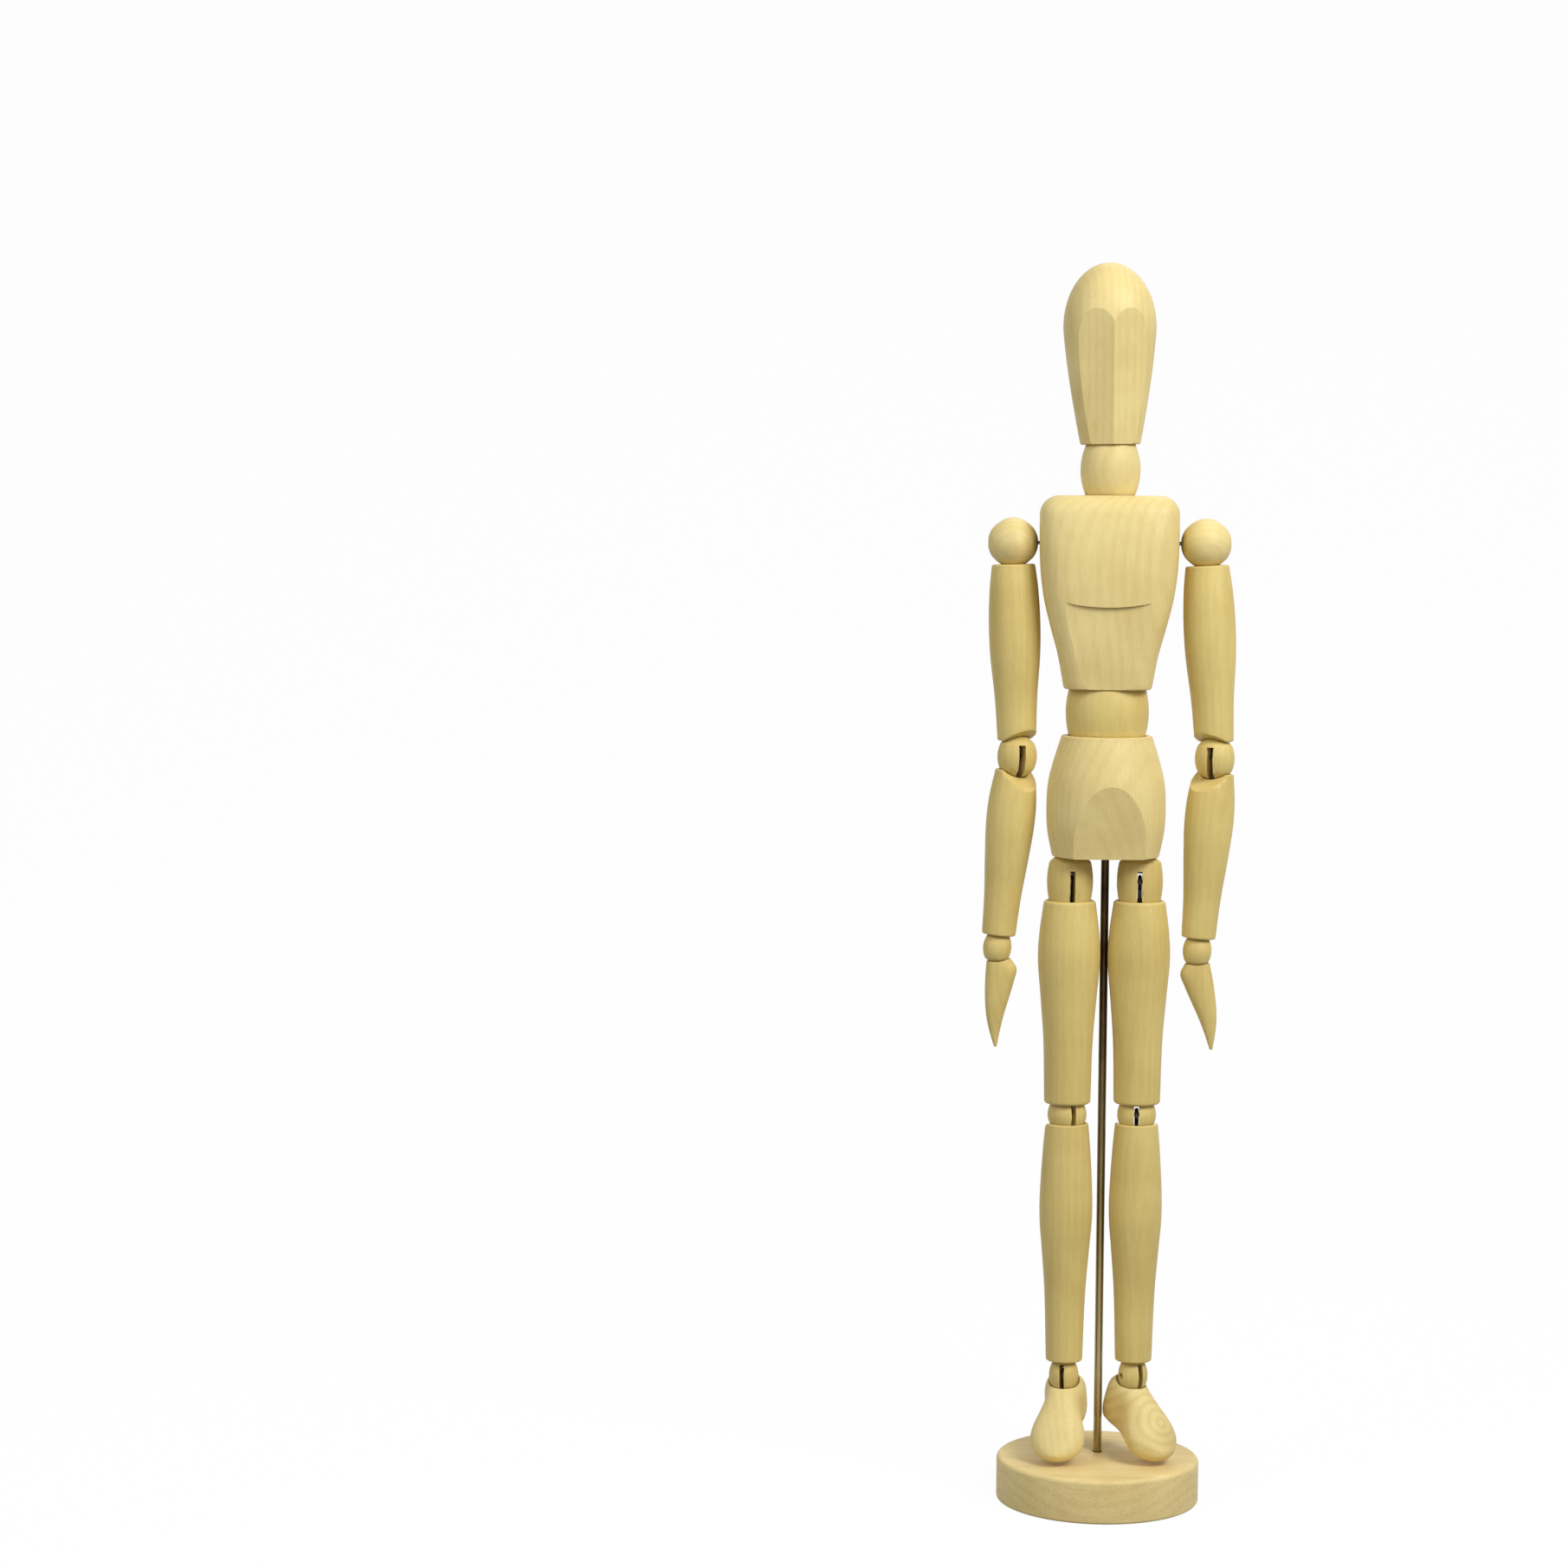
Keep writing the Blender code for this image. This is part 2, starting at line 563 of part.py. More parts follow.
def build_pelvis(rig):
    """The pelvis: a turned barrel with a flat front, a cup for the waist and seats for the hips."""
    cup = reach(WAIST) + CLEARANCE
    cup_centre = PELVIS_HEIGHT + WAIST_SHOWING / 2.0
    bore = SPINE_SPRING["diameter"] / 2.0 + SPRING_CLEARANCE
    bore_floor = cup_centre - coil_room(WAIST, SPINE_SPRING)
    tail_hole = SPINE_SPRING["wire"] / 2.0 + WIRE_CLEARANCE
    tail_floor = bore_floor - SPINE_SPRING["tail"]
    width = (
        (0.0, PELVIS_TOP_WIDTH), (0.16, 0.57 * PELVIS_TOP_WIDTH + 0.43 * PELVIS_WIDTH),
        (0.37, 0.973 * PELVIS_WIDTH), (PELVIS_WIDEST, PELVIS_WIDTH), (0.8, 0.98 * PELVIS_WIDTH),
        (1.0, PELVIS_BOTTOM_WIDTH),
    )
    rings = 9
    outline = [(PELVIS_TOP_WIDTH / 2.0 - LIMB_EDGE, PELVIS_HEIGHT)]
    for i in range(rings):
        share = i / (rings - 1)
        height = PELVIS_HEIGHT - LIMB_EDGE - (PELVIS_HEIGHT - 2.0 * LIMB_EDGE) * share
        outline.append((smooth(width, share) / 2.0, height))
    outline += [(PELVIS_BOTTOM_WIDTH / 2.0 - LIMB_EDGE, 0.0), (0.0, 0.0)]
    outline += [(0.0, tail_floor), (tail_hole, tail_floor), (tail_hole, bore_floor), (bore, bore_floor)]
    outline += arc(cup, -math.acos(bore / cup), -math.asin(WAIST_SHOWING / 2.0 / cup), 5, cup_centre)
    pelvis = turned("pelvis", outline, rig["pelvis"], TRUNK_STEPS)

    slope = math.atan2(PELVIS_FLAT_DEPTH, PELVIS_FLAT_HEIGHT)
    size = 60.0 * MM
    lean = Matrix.Rotation(slope, 4, "X")
    centre = lean @ Vector((0.0, -size / 2.0, 0.0))
    flat = add_cutter(
        "pelvis_flat", box_mesh("pelvis_flat", (size, size, 2.0 * size)), pelvis,
        at=Vector((0.0, 0.5 * MM - PELVIS_WIDTH / 2.0, PELVIS_FLAT_HEIGHT)) + centre, turn=lean.to_euler(),
    )
    cut(pelvis, flat)
    upright = rod_hole_cutter("pelvis_rod_hole", -PELVIS_HEIGHT, ROD_IN_PELVIS + CLEARANCE, pelvis)
    upright.matrix_parent_inverse = Matrix.Rotation(-PELVIS_TURN, 4, "Z")
    cut(pelvis, upright)
    for side, sign in SIDES.items():
        at = (sign * HIP_SPAN / 2.0, 0.0, HIP_SEAT - reach(HIP))
        cut(pelvis, cup_cutter("hip_seat_" + side, HIP, pelvis, at))
        depth = 2.0 * (STUD_IN_PELVIS + CLEARANCE)
        stud_hole = rod_mesh("stud_hole_" + side, WIRE + 2.0 * WIRE_CLEARANCE, depth)
        cut(pelvis, add_cutter("stud_hole_" + side, stud_hole, pelvis, at=(at[0], 0.0, 0.0)))


def trunk_barrel(name, barrel, spring, parent):
    """A barrel bored for its spring, with domed ends that turn in the cups of its neighbours."""
    bore = spring["diameter"] / 2.0 + SPRING_CLEARANCE
    return turned(name, barrel_outline(barrel, bore, bore, 5), parent, TRUNK_STEPS)


def chest_section(drop):
    """Half width and half depth of the chest, this far under its top."""
    share = drop / CHEST_HEIGHT
    width = (
        (0.0, 1.0), (0.21, 1.0), (0.375, 0.985), (0.53, 0.93), (0.685, 0.827), (0.82, 0.725), (1.0, 0.63),
    )
    depth = ((0.0, 0.80), (0.2, 0.95), (0.4, 1.0), (0.6, 0.98), (0.8, 0.9), (1.0, 0.8))
    narrow = CHEST_BOTTOM_WIDTH / CHEST_WIDTH / 0.63
    shallow = CHEST_BOTTOM_DEPTH / CHEST_DEPTH / 0.8
    half_width = CHEST_WIDTH / 2.0 * smooth(width, share) * (1.0 + (narrow - 1.0) * share)
    half_depth = CHEST_DEPTH / 2.0 * smooth(depth, share) * (1.0 + (shallow - 1.0) * share)
    if drop < CHEST_CORNER:
        inset = CHEST_CORNER - math.sqrt(CHEST_CORNER ** 2 - (CHEST_CORNER - drop) ** 2)
        half_width -= inset
        half_depth -= 0.7 * inset
    return half_width, half_depth


def build_chest(rig):
    """The chest: a rounded block that narrows to the waist, stepped back under the breast."""
    waist_gap = WAIST_SHOWING / 2.0
    top = waist_gap + CHEST_HEIGHT
    corner = [CHEST_CORNER * (1.0 - math.cos(math.radians(a))) for a in (0.0, 28.0, 56.0, 90.0)]
    lower = [CHEST_CORNER + (CHEST_HEIGHT - CHEST_CORNER) * i / 8.0 for i in range(1, 9)]
    lower[-1:] = [CHEST_HEIGHT - 0.5 * MM, CHEST_HEIGHT]
    rings = []
    for drop in corner + lower:
        half_width, half_depth = chest_section(drop)
        if drop == CHEST_HEIGHT:
            half_width -= 0.5 * MM
            half_depth -= 0.5 * MM
        section = oval(half_width, half_depth, CHEST_SQUARENESS, TRUNK_STEPS)
        rings.append([(x, y, top - drop) for x, y in section])
    chest = add_part("chest", loft_mesh("chest", rings), rig["chest"])

    cut_breast(chest, top)
    cut(chest, spring_cutter("spine_socket", WAIST, SPINE_SPRING, 1.0, chest, 0.0))
    cut(chest, spring_cutter("neck_socket", NECK, NECK_SPRING, -1.0, chest, top + NECK_SHOWING / 2.0))
    bore = SHOULDER_SPRING["diameter"] + 2.0 * SPRING_CLEARANCE
    cross_bore = rod_mesh("shoulder_bore", bore, 2.0 * CHEST_WIDTH, 12, along="X")
    cut(chest, add_cutter("shoulder_bore", cross_bore, chest, at=(0.0, 0.0, top - SHOULDER_DROP)))


def cut_breast(chest, top):
    """Step the front of the chest back under a line that sags in the middle."""
    half = 0.75 * CHEST_WIDTH
    line = top - BREAST_DROP
    points = []
    count = 8
    for i in range(count + 1):
        x = half * (2.0 * i / count - 1.0)
        points.append((x, line + BREAST_SAG * (x / (0.43 * CHEST_WIDTH)) ** 2))
    points += [(half, -CHEST_HEIGHT / 2.0), (-half, -CHEST_HEIGHT / 2.0)]
    depth = CHEST_DEPTH
    rings = [[(x, y, z) for x, z in points] for y in (-depth, 0.0)]
    back = math.atan2((CHEST_DEPTH - CHEST_BOTTOM_DEPTH) / 2.0, CHEST_HEIGHT - BREAST_DROP)
    lean = Matrix.Translation((0.0, BREAST_STEP - CHEST_DEPTH / 2.0, line)) @ Matrix.Rotation(-back, 4, "X")
    lean = lean @ Matrix.Translation((0.0, 0.0, -line))
    mesh = loft_mesh("breast_cut", rings)
    mesh.transform(lean)
    cut(chest, add_cutter("breast_cut", mesh, chest))


def spring_cutter(name, barrel, spring, sign, parent, height):
    """A cutter for the cup of a trunk barrel with the spring's bore and tail hole beyond it."""
    cup = reach(barrel) + CLEARANCE
    bore = spring["diameter"] / 2.0 + SPRING_CLEARANCE
    room = coil_room(barrel, spring)
    tail = spring["wire"] / 2.0 + WIRE_CLEARANCE
    tail_end = room + spring["tail"]
    outline = [(0.0, tail_end), (tail, tail_end), (tail, room), (bore, room)]
    outline += arc(cup, math.acos(bore / cup), -math.pi / 2.0, 12)[:-1] + [(0.0, -cup)]
    cutter = add_cutter(name, turned_mesh(name, outline), parent, at=(0.0, 0.0, height))
    turn_on_lathe(cutter, TRUNK_STEPS)
    if sign < 0.0:
        cutter.rotation_euler = (math.pi, 0.0, 0.0)
    return cutter


def build_head(rig):
    """The head: a turned egg with two flats that meet in a ridge down the face."""
    jaw = NECK_SHOWING / 2.0
    cup = reach(NECK) + CLEARANCE
    bore = NECK_SPRING["diameter"] / 2.0 + SPRING_CLEARANCE
    bore_top = coil_room(NECK, NECK_SPRING)
    tail = NECK_SPRING["wire"] / 2.0 + WIRE_CLEARANCE
    crown = jaw + HEAD_HEIGHT
    dome_height = 15.6 * MM
    brow = crown - dome_height
    outline = [(0.0, crown)]
    dome_rings = 7
    for i in range(1, dome_rings + 1):
        angle = math.pi / 2.0 * (1.0 - i / dome_rings)
        outline.append((HEAD_WIDTH / 2.0 * math.cos(angle), brow + dome_height * math.sin(angle)))
    cheeks = 5
    for i in range(1, cheeks + 1):
        share = i / cheeks
        ease = share ** 1.35
        radius = HEAD_WIDTH / 2.0 + (HEAD_JAW_WIDTH - HEAD_WIDTH) / 2.0 * ease
        outline.append((radius, brow + (jaw + LIMB_EDGE - brow) * share))
    outline.append((HEAD_JAW_WIDTH / 2.0 - LIMB_EDGE, jaw))
    outline += arc(cup, math.asin(jaw / cup), math.acos(bore / cup), 4)
    tail_top = bore_top + NECK_SPRING["tail"]
    outline += [(bore, bore_top), (tail, bore_top), (tail, tail_top), (0.0, tail_top)]
    head = turned("head", outline, rig["head"], TRUNK_STEPS)
    size = 60.0 * MM
    for side, sign in SIDES.items():
        aside = Matrix.Rotation(sign * FACE_ANGLE, 4, "Z")
        tilt = aside @ Matrix.Rotation(FACE_TAPER, 4, "X")
        centre = tilt @ Vector((0.0, -size / 2.0, 0.0))
        brow_point = aside @ Vector((0.0, FACE_TOP_DEPTH - HEAD_WIDTH / 2.0, brow))
        flat = add_cutter(
            "face_flat_" + side, box_mesh("face_flat_" + side, (2.0 * size, size, 2.0 * size)), head,
            at=brow_point + centre, turn=tilt.to_euler(),
        )
        cut(head, flat)


def coil_spring(name, barrel, spring, parent):
    """An upright spring through a barrel, with a straight tail from the middle of each end."""
    coil = coil_points(spring, coil_length(barrel, spring), "Z")
    bend = Vector((0.0, 0.0, coil_length(barrel, spring) / 2.0 + 0.3 * spring["wire"]))
    end = Vector((0.0, 0.0, coil_room(barrel, spring) + spring["tail"] - CLEARANCE))
    points = [-end, -bend] + coil + [bend, end]
    add_part(name, wire_mesh(name, points, spring["wire"]), parent, "steel_wire")


def shoulder_spring(rig):
    """The spring across the chest, with a headed wire into each shoulder barrel."""
    spring = SHOULDER_SPRING
    coil = coil_points(spring, SHOULDER_COIL, "X")
    start = SHOULDER_COIL / 2.0 + spring["wire"] + CLEARANCE
    head = SHOULDER_SPAN / 2.0 - SLOT_RISE + WIRE_CLEARANCE
    right = headed([Vector((-start, 0.0, 0.0)), Vector((-head, 0.0, 0.0))], Vector((-1.0, 0.0, 0.0)))
    left = headed([Vector((start, 0.0, 0.0)), Vector((head, 0.0, 0.0))], Vector((1.0, 0.0, 0.0)))
    points = list(reversed(right)) + coil + left
    last = len(points) - 1
    swell = {0: HEAD_SWELL, 1: HEAD_SWELL, last - 1: HEAD_SWELL, last: HEAD_SWELL}
    mesh = wire_mesh("shoulder_spring", points, spring["wire"], swell)
    add_part("shoulder_spring", mesh, rig["shoulders"], "steel_wire")


def hand_mesh(name, sign):
    """The hand: a flat wedge with a thumb bump on its inner side, drawn out to a point."""
    rings = []
    tip = HAND_LENGTH
    outer = ((0.0, 0.38), (0.2, 0.48), (0.44, 0.56), (0.63, 0.58), (0.81, 0.54), (1.0, 0.45))
    inner = (
        (0.0, 0.37), (0.12, 0.52), (0.26, 0.40), (0.44, 0.20), (0.63, -0.02), (0.81, -0.20), (1.0, -0.36),
    )
    thick = ((0.0, 0.95), (0.15, 1.0), (0.5, 0.85), (0.8, 0.5), (1.0, 0.22))
    count = 9
    for i in range(count):
        share = i / (count - 1)
        out = smooth(outer, share) * HAND_WIDTH
        into = smooth(inner, share) * HAND_WIDTH
        middle, half = sign * (out - into) / 2.0, (out + into) / 2.0
        depth = smooth(thick, share) * HAND_THICKNESS / 2.0
        height = -HAND_TOP - (tip - HAND_TOP) * share
        rings.append([(middle + x, y, height) for x, y in oval(half, depth, 2.3, 14)])
    return loft_mesh(name, rings)


def build_hand(side, sign, rig):
    """A hand, cupped under the wrist barrel and drilled for its wire."""
    name = "hand_" + side
    hand = add_part(name, hand_mesh(name, sign), rig["hand_" + side])
    cut(hand, cup_cutter(name + "_cup", WRIST, hand))
    bore = rod_mesh(name + "_bore", WIRE + 2.0 * WIRE_CLEARANCE, 2.0 * (WIRE_IN_HAND + CLEARANCE))
    cut(hand, add_cutter(name + "_bore", bore, hand))


def foot_mesh(name):
    """The foot: a long egg with a wide toe, lofted from heel to toe, before its sole is cut."""
    rings = []
    count = 11
    width = (
        (0.0, 0.32), (0.1, 0.64), (0.24, 0.75), (0.42, 0.76),
        (0.58, 0.92), (0.72, 1.0), (0.87, 0.86), (1.0, 0.36),
    )
    top = (
        (0.0, -0.55), (0.1, -0.32), (0.25, -0.14), (0.42, -0.10), (0.62, -0.26), (0.82, -0.46), (1.0, -0.78),
    )
    heel_ratio = FOOT_HEEL_WIDTH / FOOT_WIDTH / 0.75
    for i in range(count):
        share = i / (count - 1)
        narrow = heel_ratio + (1.0 - heel_ratio) * min(1.0, share / 0.5)
        half = smooth(width, share) * FOOT_WIDTH / 2.0 * narrow
        crest = smooth(top, share) * FOOT_SOLE_DROP
        below = -1.25 * FOOT_SOLE_DROP
        middle, rise = (crest + below) / 2.0, (crest - below) / 2.0
        y = FOOT_HEEL - FOOT_LENGTH * share
        rings.append([(x, y, middle + z) for x, z in oval(half, rise, 2.6, 16)])
    return loft_mesh(name, rings)


def build_foot(side, rig):
    """A foot with a flat sole, cupped under the ankle barrel and drilled for its wire."""
    name = "foot_" + side
    foot = add_part(name, foot_mesh(name), rig["foot_" + side])
    size = 60.0 * MM
    sole = box_mesh(name + "_sole", (size, size, size))
    cut(foot, add_cutter(name + "_sole", sole, foot, at=(0.0, 0.0, -FOOT_SOLE_DROP - size / 2.0)))
    cut(foot, cup_cutter(name + "_cup", ANKLE, foot))
    bore = rod_mesh(name + "_bore", WIRE + 2.0 * WIRE_CLEARANCE, 2.0 * (WIRE_IN_FOOT + CLEARANCE))
    cut(foot, add_cutter(name + "_bore", bore, foot))


def build_rig():
    """Empties on every joint, from the rod up the trunk and out along the limbs."""
    rig = {}
    pelvis_bottom = BASE_HEIGHT + ROD_SHOWING
    rig["pelvis"] = pivot("pelvis", None, (0.0, 0.0, pelvis_bottom), (0.0, 0.0, PELVIS_TURN))
    waist_height = PELVIS_HEIGHT + WAIST_SHOWING / 2.0
    rig["waist"] = pivot("waist", rig["pelvis"], (0.0, 0.0, waist_height), (0.0, 0.0, WAIST_TURN))
    rig["chest"] = pivot("chest", rig["waist"])
    chest_top = WAIST_SHOWING / 2.0 + CHEST_HEIGHT
    neck_height = chest_top + NECK_SHOWING / 2.0
    rig["neck"] = pivot("neck", rig["chest"], (0.0, 0.0, neck_height), (0.0, 0.0, HEAD_TURN))
    rig["head"] = pivot("head", rig["neck"], turn=(0.0, HEAD_TILT, 0.0))
    shoulder_height = chest_top - SHOULDER_DROP
    rig["shoulders"] = pivot("shoulders", rig["chest"], (0.0, 0.0, shoulder_height))
    for side, sign in SIDES.items():
        pose = POSE[side]
        at = (sign * SHOULDER_SPAN / 2.0, 0.0, shoulder_height)
        rig["shoulder_" + side] = pivot("shoulder_" + side, rig["chest"], at)
        arm = pivot("upper_arm_" + side, rig["shoulder_" + side], turn=(0.0, pose["arm_tilt"], 0.0))
        half_tilt = Matrix.Rotation(pose["forearm_tilt"] / 2.0, 4, "Y")
        heading = Matrix.Rotation(-sign * ELBOW_HEADING, 4, "Z")
        elbow = pivot("elbow_" + side, arm, (0.0, 0.0, -UPPER_ARM_LENGTH), (half_tilt @ heading).to_euler())
        forearm = pivot("forearm_" + side, elbow, turn=(heading.inverted() @ half_tilt @ heading).to_euler())
        wrist = pivot("wrist_" + side, forearm, (0.0, 0.0, -FOREARM_LENGTH), (0.0, 0.0, sign * ELBOW_HEADING))
        hand = pivot("hand_" + side, wrist, turn=(0.0, pose["hand_tilt"], 0.0))
        hip_at = (sign * HIP_SPAN / 2.0, 0.0, HIP_SEAT - reach(HIP))
        hip = pivot("hip_" + side, rig["pelvis"], hip_at, (0.0, 0.0, pose["hip_turn"]))
        thigh = pivot("thigh_" + side, hip)
        knee = pivot("knee_" + side, thigh, (0.0, 0.0, -THIGH_LENGTH), (0.0, 0.0, pose["knee_turn"]))
        calf = pivot("calf_" + side, knee)
        ankle = pivot("ankle_" + side, calf, (0.0, 0.0, -CALF_LENGTH), (0.0, 0.0, pose["ankle_turn"]))
        foot = pivot("foot_" + side, ankle, turn=(pose["foot_drop"], 0.0, 0.0))
        rig.update({
            "upper_arm_" + side: arm, "elbow_" + side: elbow, "forearm_" + side: forearm,
            "wrist_" + side: wrist, "hand_" + side: hand, "hip_" + side: hip, "thigh_" + side: thigh,
            "knee_" + side: knee, "calf_" + side: calf, "ankle_" + side: ankle, "foot_" + side: foot,
        })
    return rig


def build_arm(side, sign, rig):
    """One arm from the shoulder barrel to the hand."""
    inward = Matrix.Rotation(sign * -math.pi / 2.0, 4, "Y")
    side_on = Matrix.Rotation(math.pi / 2.0, 4, "Z")
    front_pin = side_on.to_euler()
    shoulder, arm, elbow = rig["shoulder_" + side], rig["upper_arm_" + side], rig["elbow_" + side]
    forearm, wrist = rig["forearm_" + side], rig["wrist_" + side]
    joint_barrel("shoulder_ball_" + side, SHOULDER, shoulder, 1.0, (inward @ side_on).to_euler())
    joint_pin("shoulder_pin_" + side, SHOULDER, shoulder, 1.0, front_pin)
    upper = limb(
        "upper_arm_" + side, UPPER_ARM_GIRTH, UPPER_ARM_LENGTH,
        SHOULDER, UPPER_ARM_TOP, ELBOW, UPPER_ARM_END, arm,
    )
    limb_wire("upper_arm_wire_" + side, arm, UPPER_ARM_LENGTH, front_pin)
    joint_barrel("elbow_ball_" + side, ELBOW, elbow, -sign)
    joint_pin("elbow_pin_" + side, ELBOW, elbow, -sign)
    lower = limb(
        "forearm_" + side, FOREARM_GIRTH, FOREARM_LENGTH, ELBOW, FOREARM_TOP, WRIST, FOREARM_END, forearm
    )
    limb_wire("forearm_wire_" + side, forearm, FOREARM_LENGTH)
    heading = -sign * ELBOW_CUT_HEADING
    fold_cut(upper, -UPPER_ARM_LENGTH + UPPER_ARM_END, UPPER_ARM_CUT, heading, -1.0)
    fold_cut(lower, -FOREARM_TOP, FOREARM_CUT, heading + sign * ELBOW_HEADING, 1.0)
    joint_barrel("wrist_ball_" + side, WRIST, wrist, 1.0, front_pin)
    joint_pin("wrist_pin_" + side, WRIST, wrist, 1.0, front_pin)
    build_hand(side, sign, rig)
    end_wire("hand_wire_" + side, rig["hand_" + side], WIRE_IN_HAND, front_pin)


def build_leg(side, sign, rig):
    """One leg from the hip barrel to the foot."""
    hip, thigh, knee = rig["hip_" + side], rig["thigh_" + side], rig["knee_" + side]
    calf, ankle = rig["calf_" + side], rig["ankle_" + side]
    joint_barrel("hip_ball_" + side, HIP, hip, -sign)
    joint_pin("hip_pin_" + side, HIP, hip, -sign)
    stud_top = reach(HIP) - HIP_SEAT + STUD_IN_PELVIS
    stud = [Vector((0.0, 0.0, stud_top)), Vector((0.0, 0.0, SLOT_RISE - WIRE_CLEARANCE))]
    stud = headed(stud, Vector((0.0, 0.0, -1.0)))
    mesh = wire_mesh("hip_stud_" + side, stud, WIRE, {2: HEAD_SWELL, 3: HEAD_SWELL})
    add_part("hip_stud_" + side, mesh, hip, "steel_wire")
    upper = limb("thigh_" + side, THIGH_GIRTH, THIGH_LENGTH, HIP, THIGH_TOP, KNEE, THIGH_END, thigh)
    limb_wire("thigh_wire_" + side, thigh, THIGH_LENGTH)
    joint_barrel("knee_ball_" + side, KNEE, knee, -sign)
    joint_pin("knee_pin_" + side, KNEE, knee, -sign)
    lower = limb("calf_" + side, CALF_GIRTH, CALF_LENGTH, KNEE, CALF_TOP, ANKLE, CALF_END, calf)
    limb_wire("calf_wire_" + side, calf, CALF_LENGTH)
    fold_cut(upper, -THIGH_LENGTH + THIGH_END, KNEE_CUT, math.pi, -1.0)
    fold_cut(lower, -CALF_TOP, KNEE_CUT, math.pi, 1.0)
    joint_barrel("ankle_ball_" + side, ANKLE, ankle, -sign)
    joint_pin("ankle_pin_" + side, ANKLE, ankle, -sign)
    build_foot(side, rig)
    end_wire("foot_wire_" + side, rig["foot_" + side], WIRE_IN_FOOT)


def build_mannequin():
    """The whole figure on its stand."""
    rig = build_rig()
    build_stand()
    build_pelvis(rig)
    trunk_barrel("waist", WAIST, SPINE_SPRING, rig["waist"])
    coil_spring("spine_spring", WAIST, SPINE_SPRING, rig["waist"])
    build_chest(rig)
    shoulder_spring(rig)
    trunk_barrel("neck", NECK, NECK_SPRING, rig["neck"])
    coil_spring("neck_spring", NECK, NECK_SPRING, rig["neck"])
    build_head(rig)
    for side, sign in SIDES.items():
        build_arm(side, sign, rig)
        build_leg(side, sign, rig)


build_mannequin()
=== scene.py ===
"""Looks of a wooden drawing mannequin on its disc stand: turned limewood, steel wire and a plain studio."""

import json
import math
import random

import bmesh
import bpy
from bpy.props import FloatProperty, FloatVectorProperty, IntProperty, PointerProperty, StringProperty
from mathutils import Matrix, Vector


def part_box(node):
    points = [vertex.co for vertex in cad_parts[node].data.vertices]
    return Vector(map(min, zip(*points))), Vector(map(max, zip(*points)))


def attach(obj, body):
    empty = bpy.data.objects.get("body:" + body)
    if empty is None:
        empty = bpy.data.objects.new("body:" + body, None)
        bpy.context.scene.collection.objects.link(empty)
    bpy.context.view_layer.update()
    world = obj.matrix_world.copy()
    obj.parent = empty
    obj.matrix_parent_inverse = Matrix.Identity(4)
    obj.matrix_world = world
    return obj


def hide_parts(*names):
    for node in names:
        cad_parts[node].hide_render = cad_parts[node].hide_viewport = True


bl_info = {
    "name": "Drawing mannequin",
    "version": (1, 0, 0),
    "blender": (4, 5, 0),
    "location": "View3D > Sidebar > Mannequin",
    "description": "Builds the turned wooden pieces of a jointed drawing figure and the studio round it",
    "category": "Object",
}

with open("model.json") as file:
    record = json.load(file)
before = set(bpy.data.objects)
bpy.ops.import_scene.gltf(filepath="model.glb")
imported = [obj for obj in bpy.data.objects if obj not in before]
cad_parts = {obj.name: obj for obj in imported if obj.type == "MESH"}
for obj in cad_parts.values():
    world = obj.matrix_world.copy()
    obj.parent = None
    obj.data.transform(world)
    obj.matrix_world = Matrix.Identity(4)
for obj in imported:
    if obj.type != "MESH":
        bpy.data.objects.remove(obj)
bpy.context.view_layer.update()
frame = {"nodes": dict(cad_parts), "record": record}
JOINTS = {joint["name"]: joint for joint in frame["record"]["behaviour"]["joints"]}
SIDES = {"right": -1.0, "left": 1.0}
MM = 0.001

# Running gap between a barrel and the cup that holds it
GAP = 0.3 * MM
# Softened corner that sanding leaves on every cut edge, and the least angle of an edge that gets one
SANDED, SANDED_ANGLE = 0.14 * MM, 50.0
# Round on the rim of the pelvis and under the jaw
RIM = 0.5 * MM
# Diameters of the holes for the rod, for a cross pin and for the wire of a hand or foot
ROD_HOLE, PIN_HOLE, WIRE_HOLE = 2.6 * MM, 1.5 * MM, 1.5 * MM
# Room round a wire in a barrel, round the wire's head in a barrel and round a wire in a limb
BARREL_ROOM, HEAD_ROOM, LIMB_ROOM = 0.4 * MM, 0.25 * MM, 0.25 * MM
# Size of a block that cuts a whole side off a piece
CUTTER = 60.0 * MM
# Steps round the disc, the rod, the pieces of the trunk and the barrels of the limbs
DISC_STEPS, ROD_STEPS, TRUNK_STEPS, BARREL_STEPS = 128, 32, 96, 64

# The tables that follow are in millimetres

# Barrels: width at the middle, width where the domed ends begin, height between those
BARRELS = {
    "shoulder": (12.4, 7.2, 10.0), "elbow": (9.7, 8.4, 6.2), "wrist": (7.1, 5.9, 5.2),
    "hip": (11.3, 10.2, 9.6), "knee": (9.6, 8.6, 4.4), "ankle": (7.3, 6.0, 5.6),
    "waist": (20.3, 18.8, 11.5), "neck": (14.6, 12.0, 12.4),
}

# Turned limbs: share of the length from the top, diameter
GIRTHS = {
    "upper_arm": ((0.0, 10.8), (0.12, 12.0), (0.32, 12.8), (0.52, 12.4), (0.76, 10.6), (1.0, 9.7)),
    "forearm": ((0.0, 10.2), (0.16, 11.8), (0.31, 12.1), (0.52, 11.0), (0.77, 9.3), (1.0, 8.5)),
    "thigh": ((0.0, 13.0), (0.14, 14.8), (0.28, 15.5), (0.47, 14.0), (0.7, 12.3), (1.0, 11.6)),
    "calf": ((0.0, 10.8), (0.12, 12.0), (0.32, 13.2), (0.42, 13.0), (0.51, 12.1), (0.71, 10.3), (1.0, 9.2)),
}

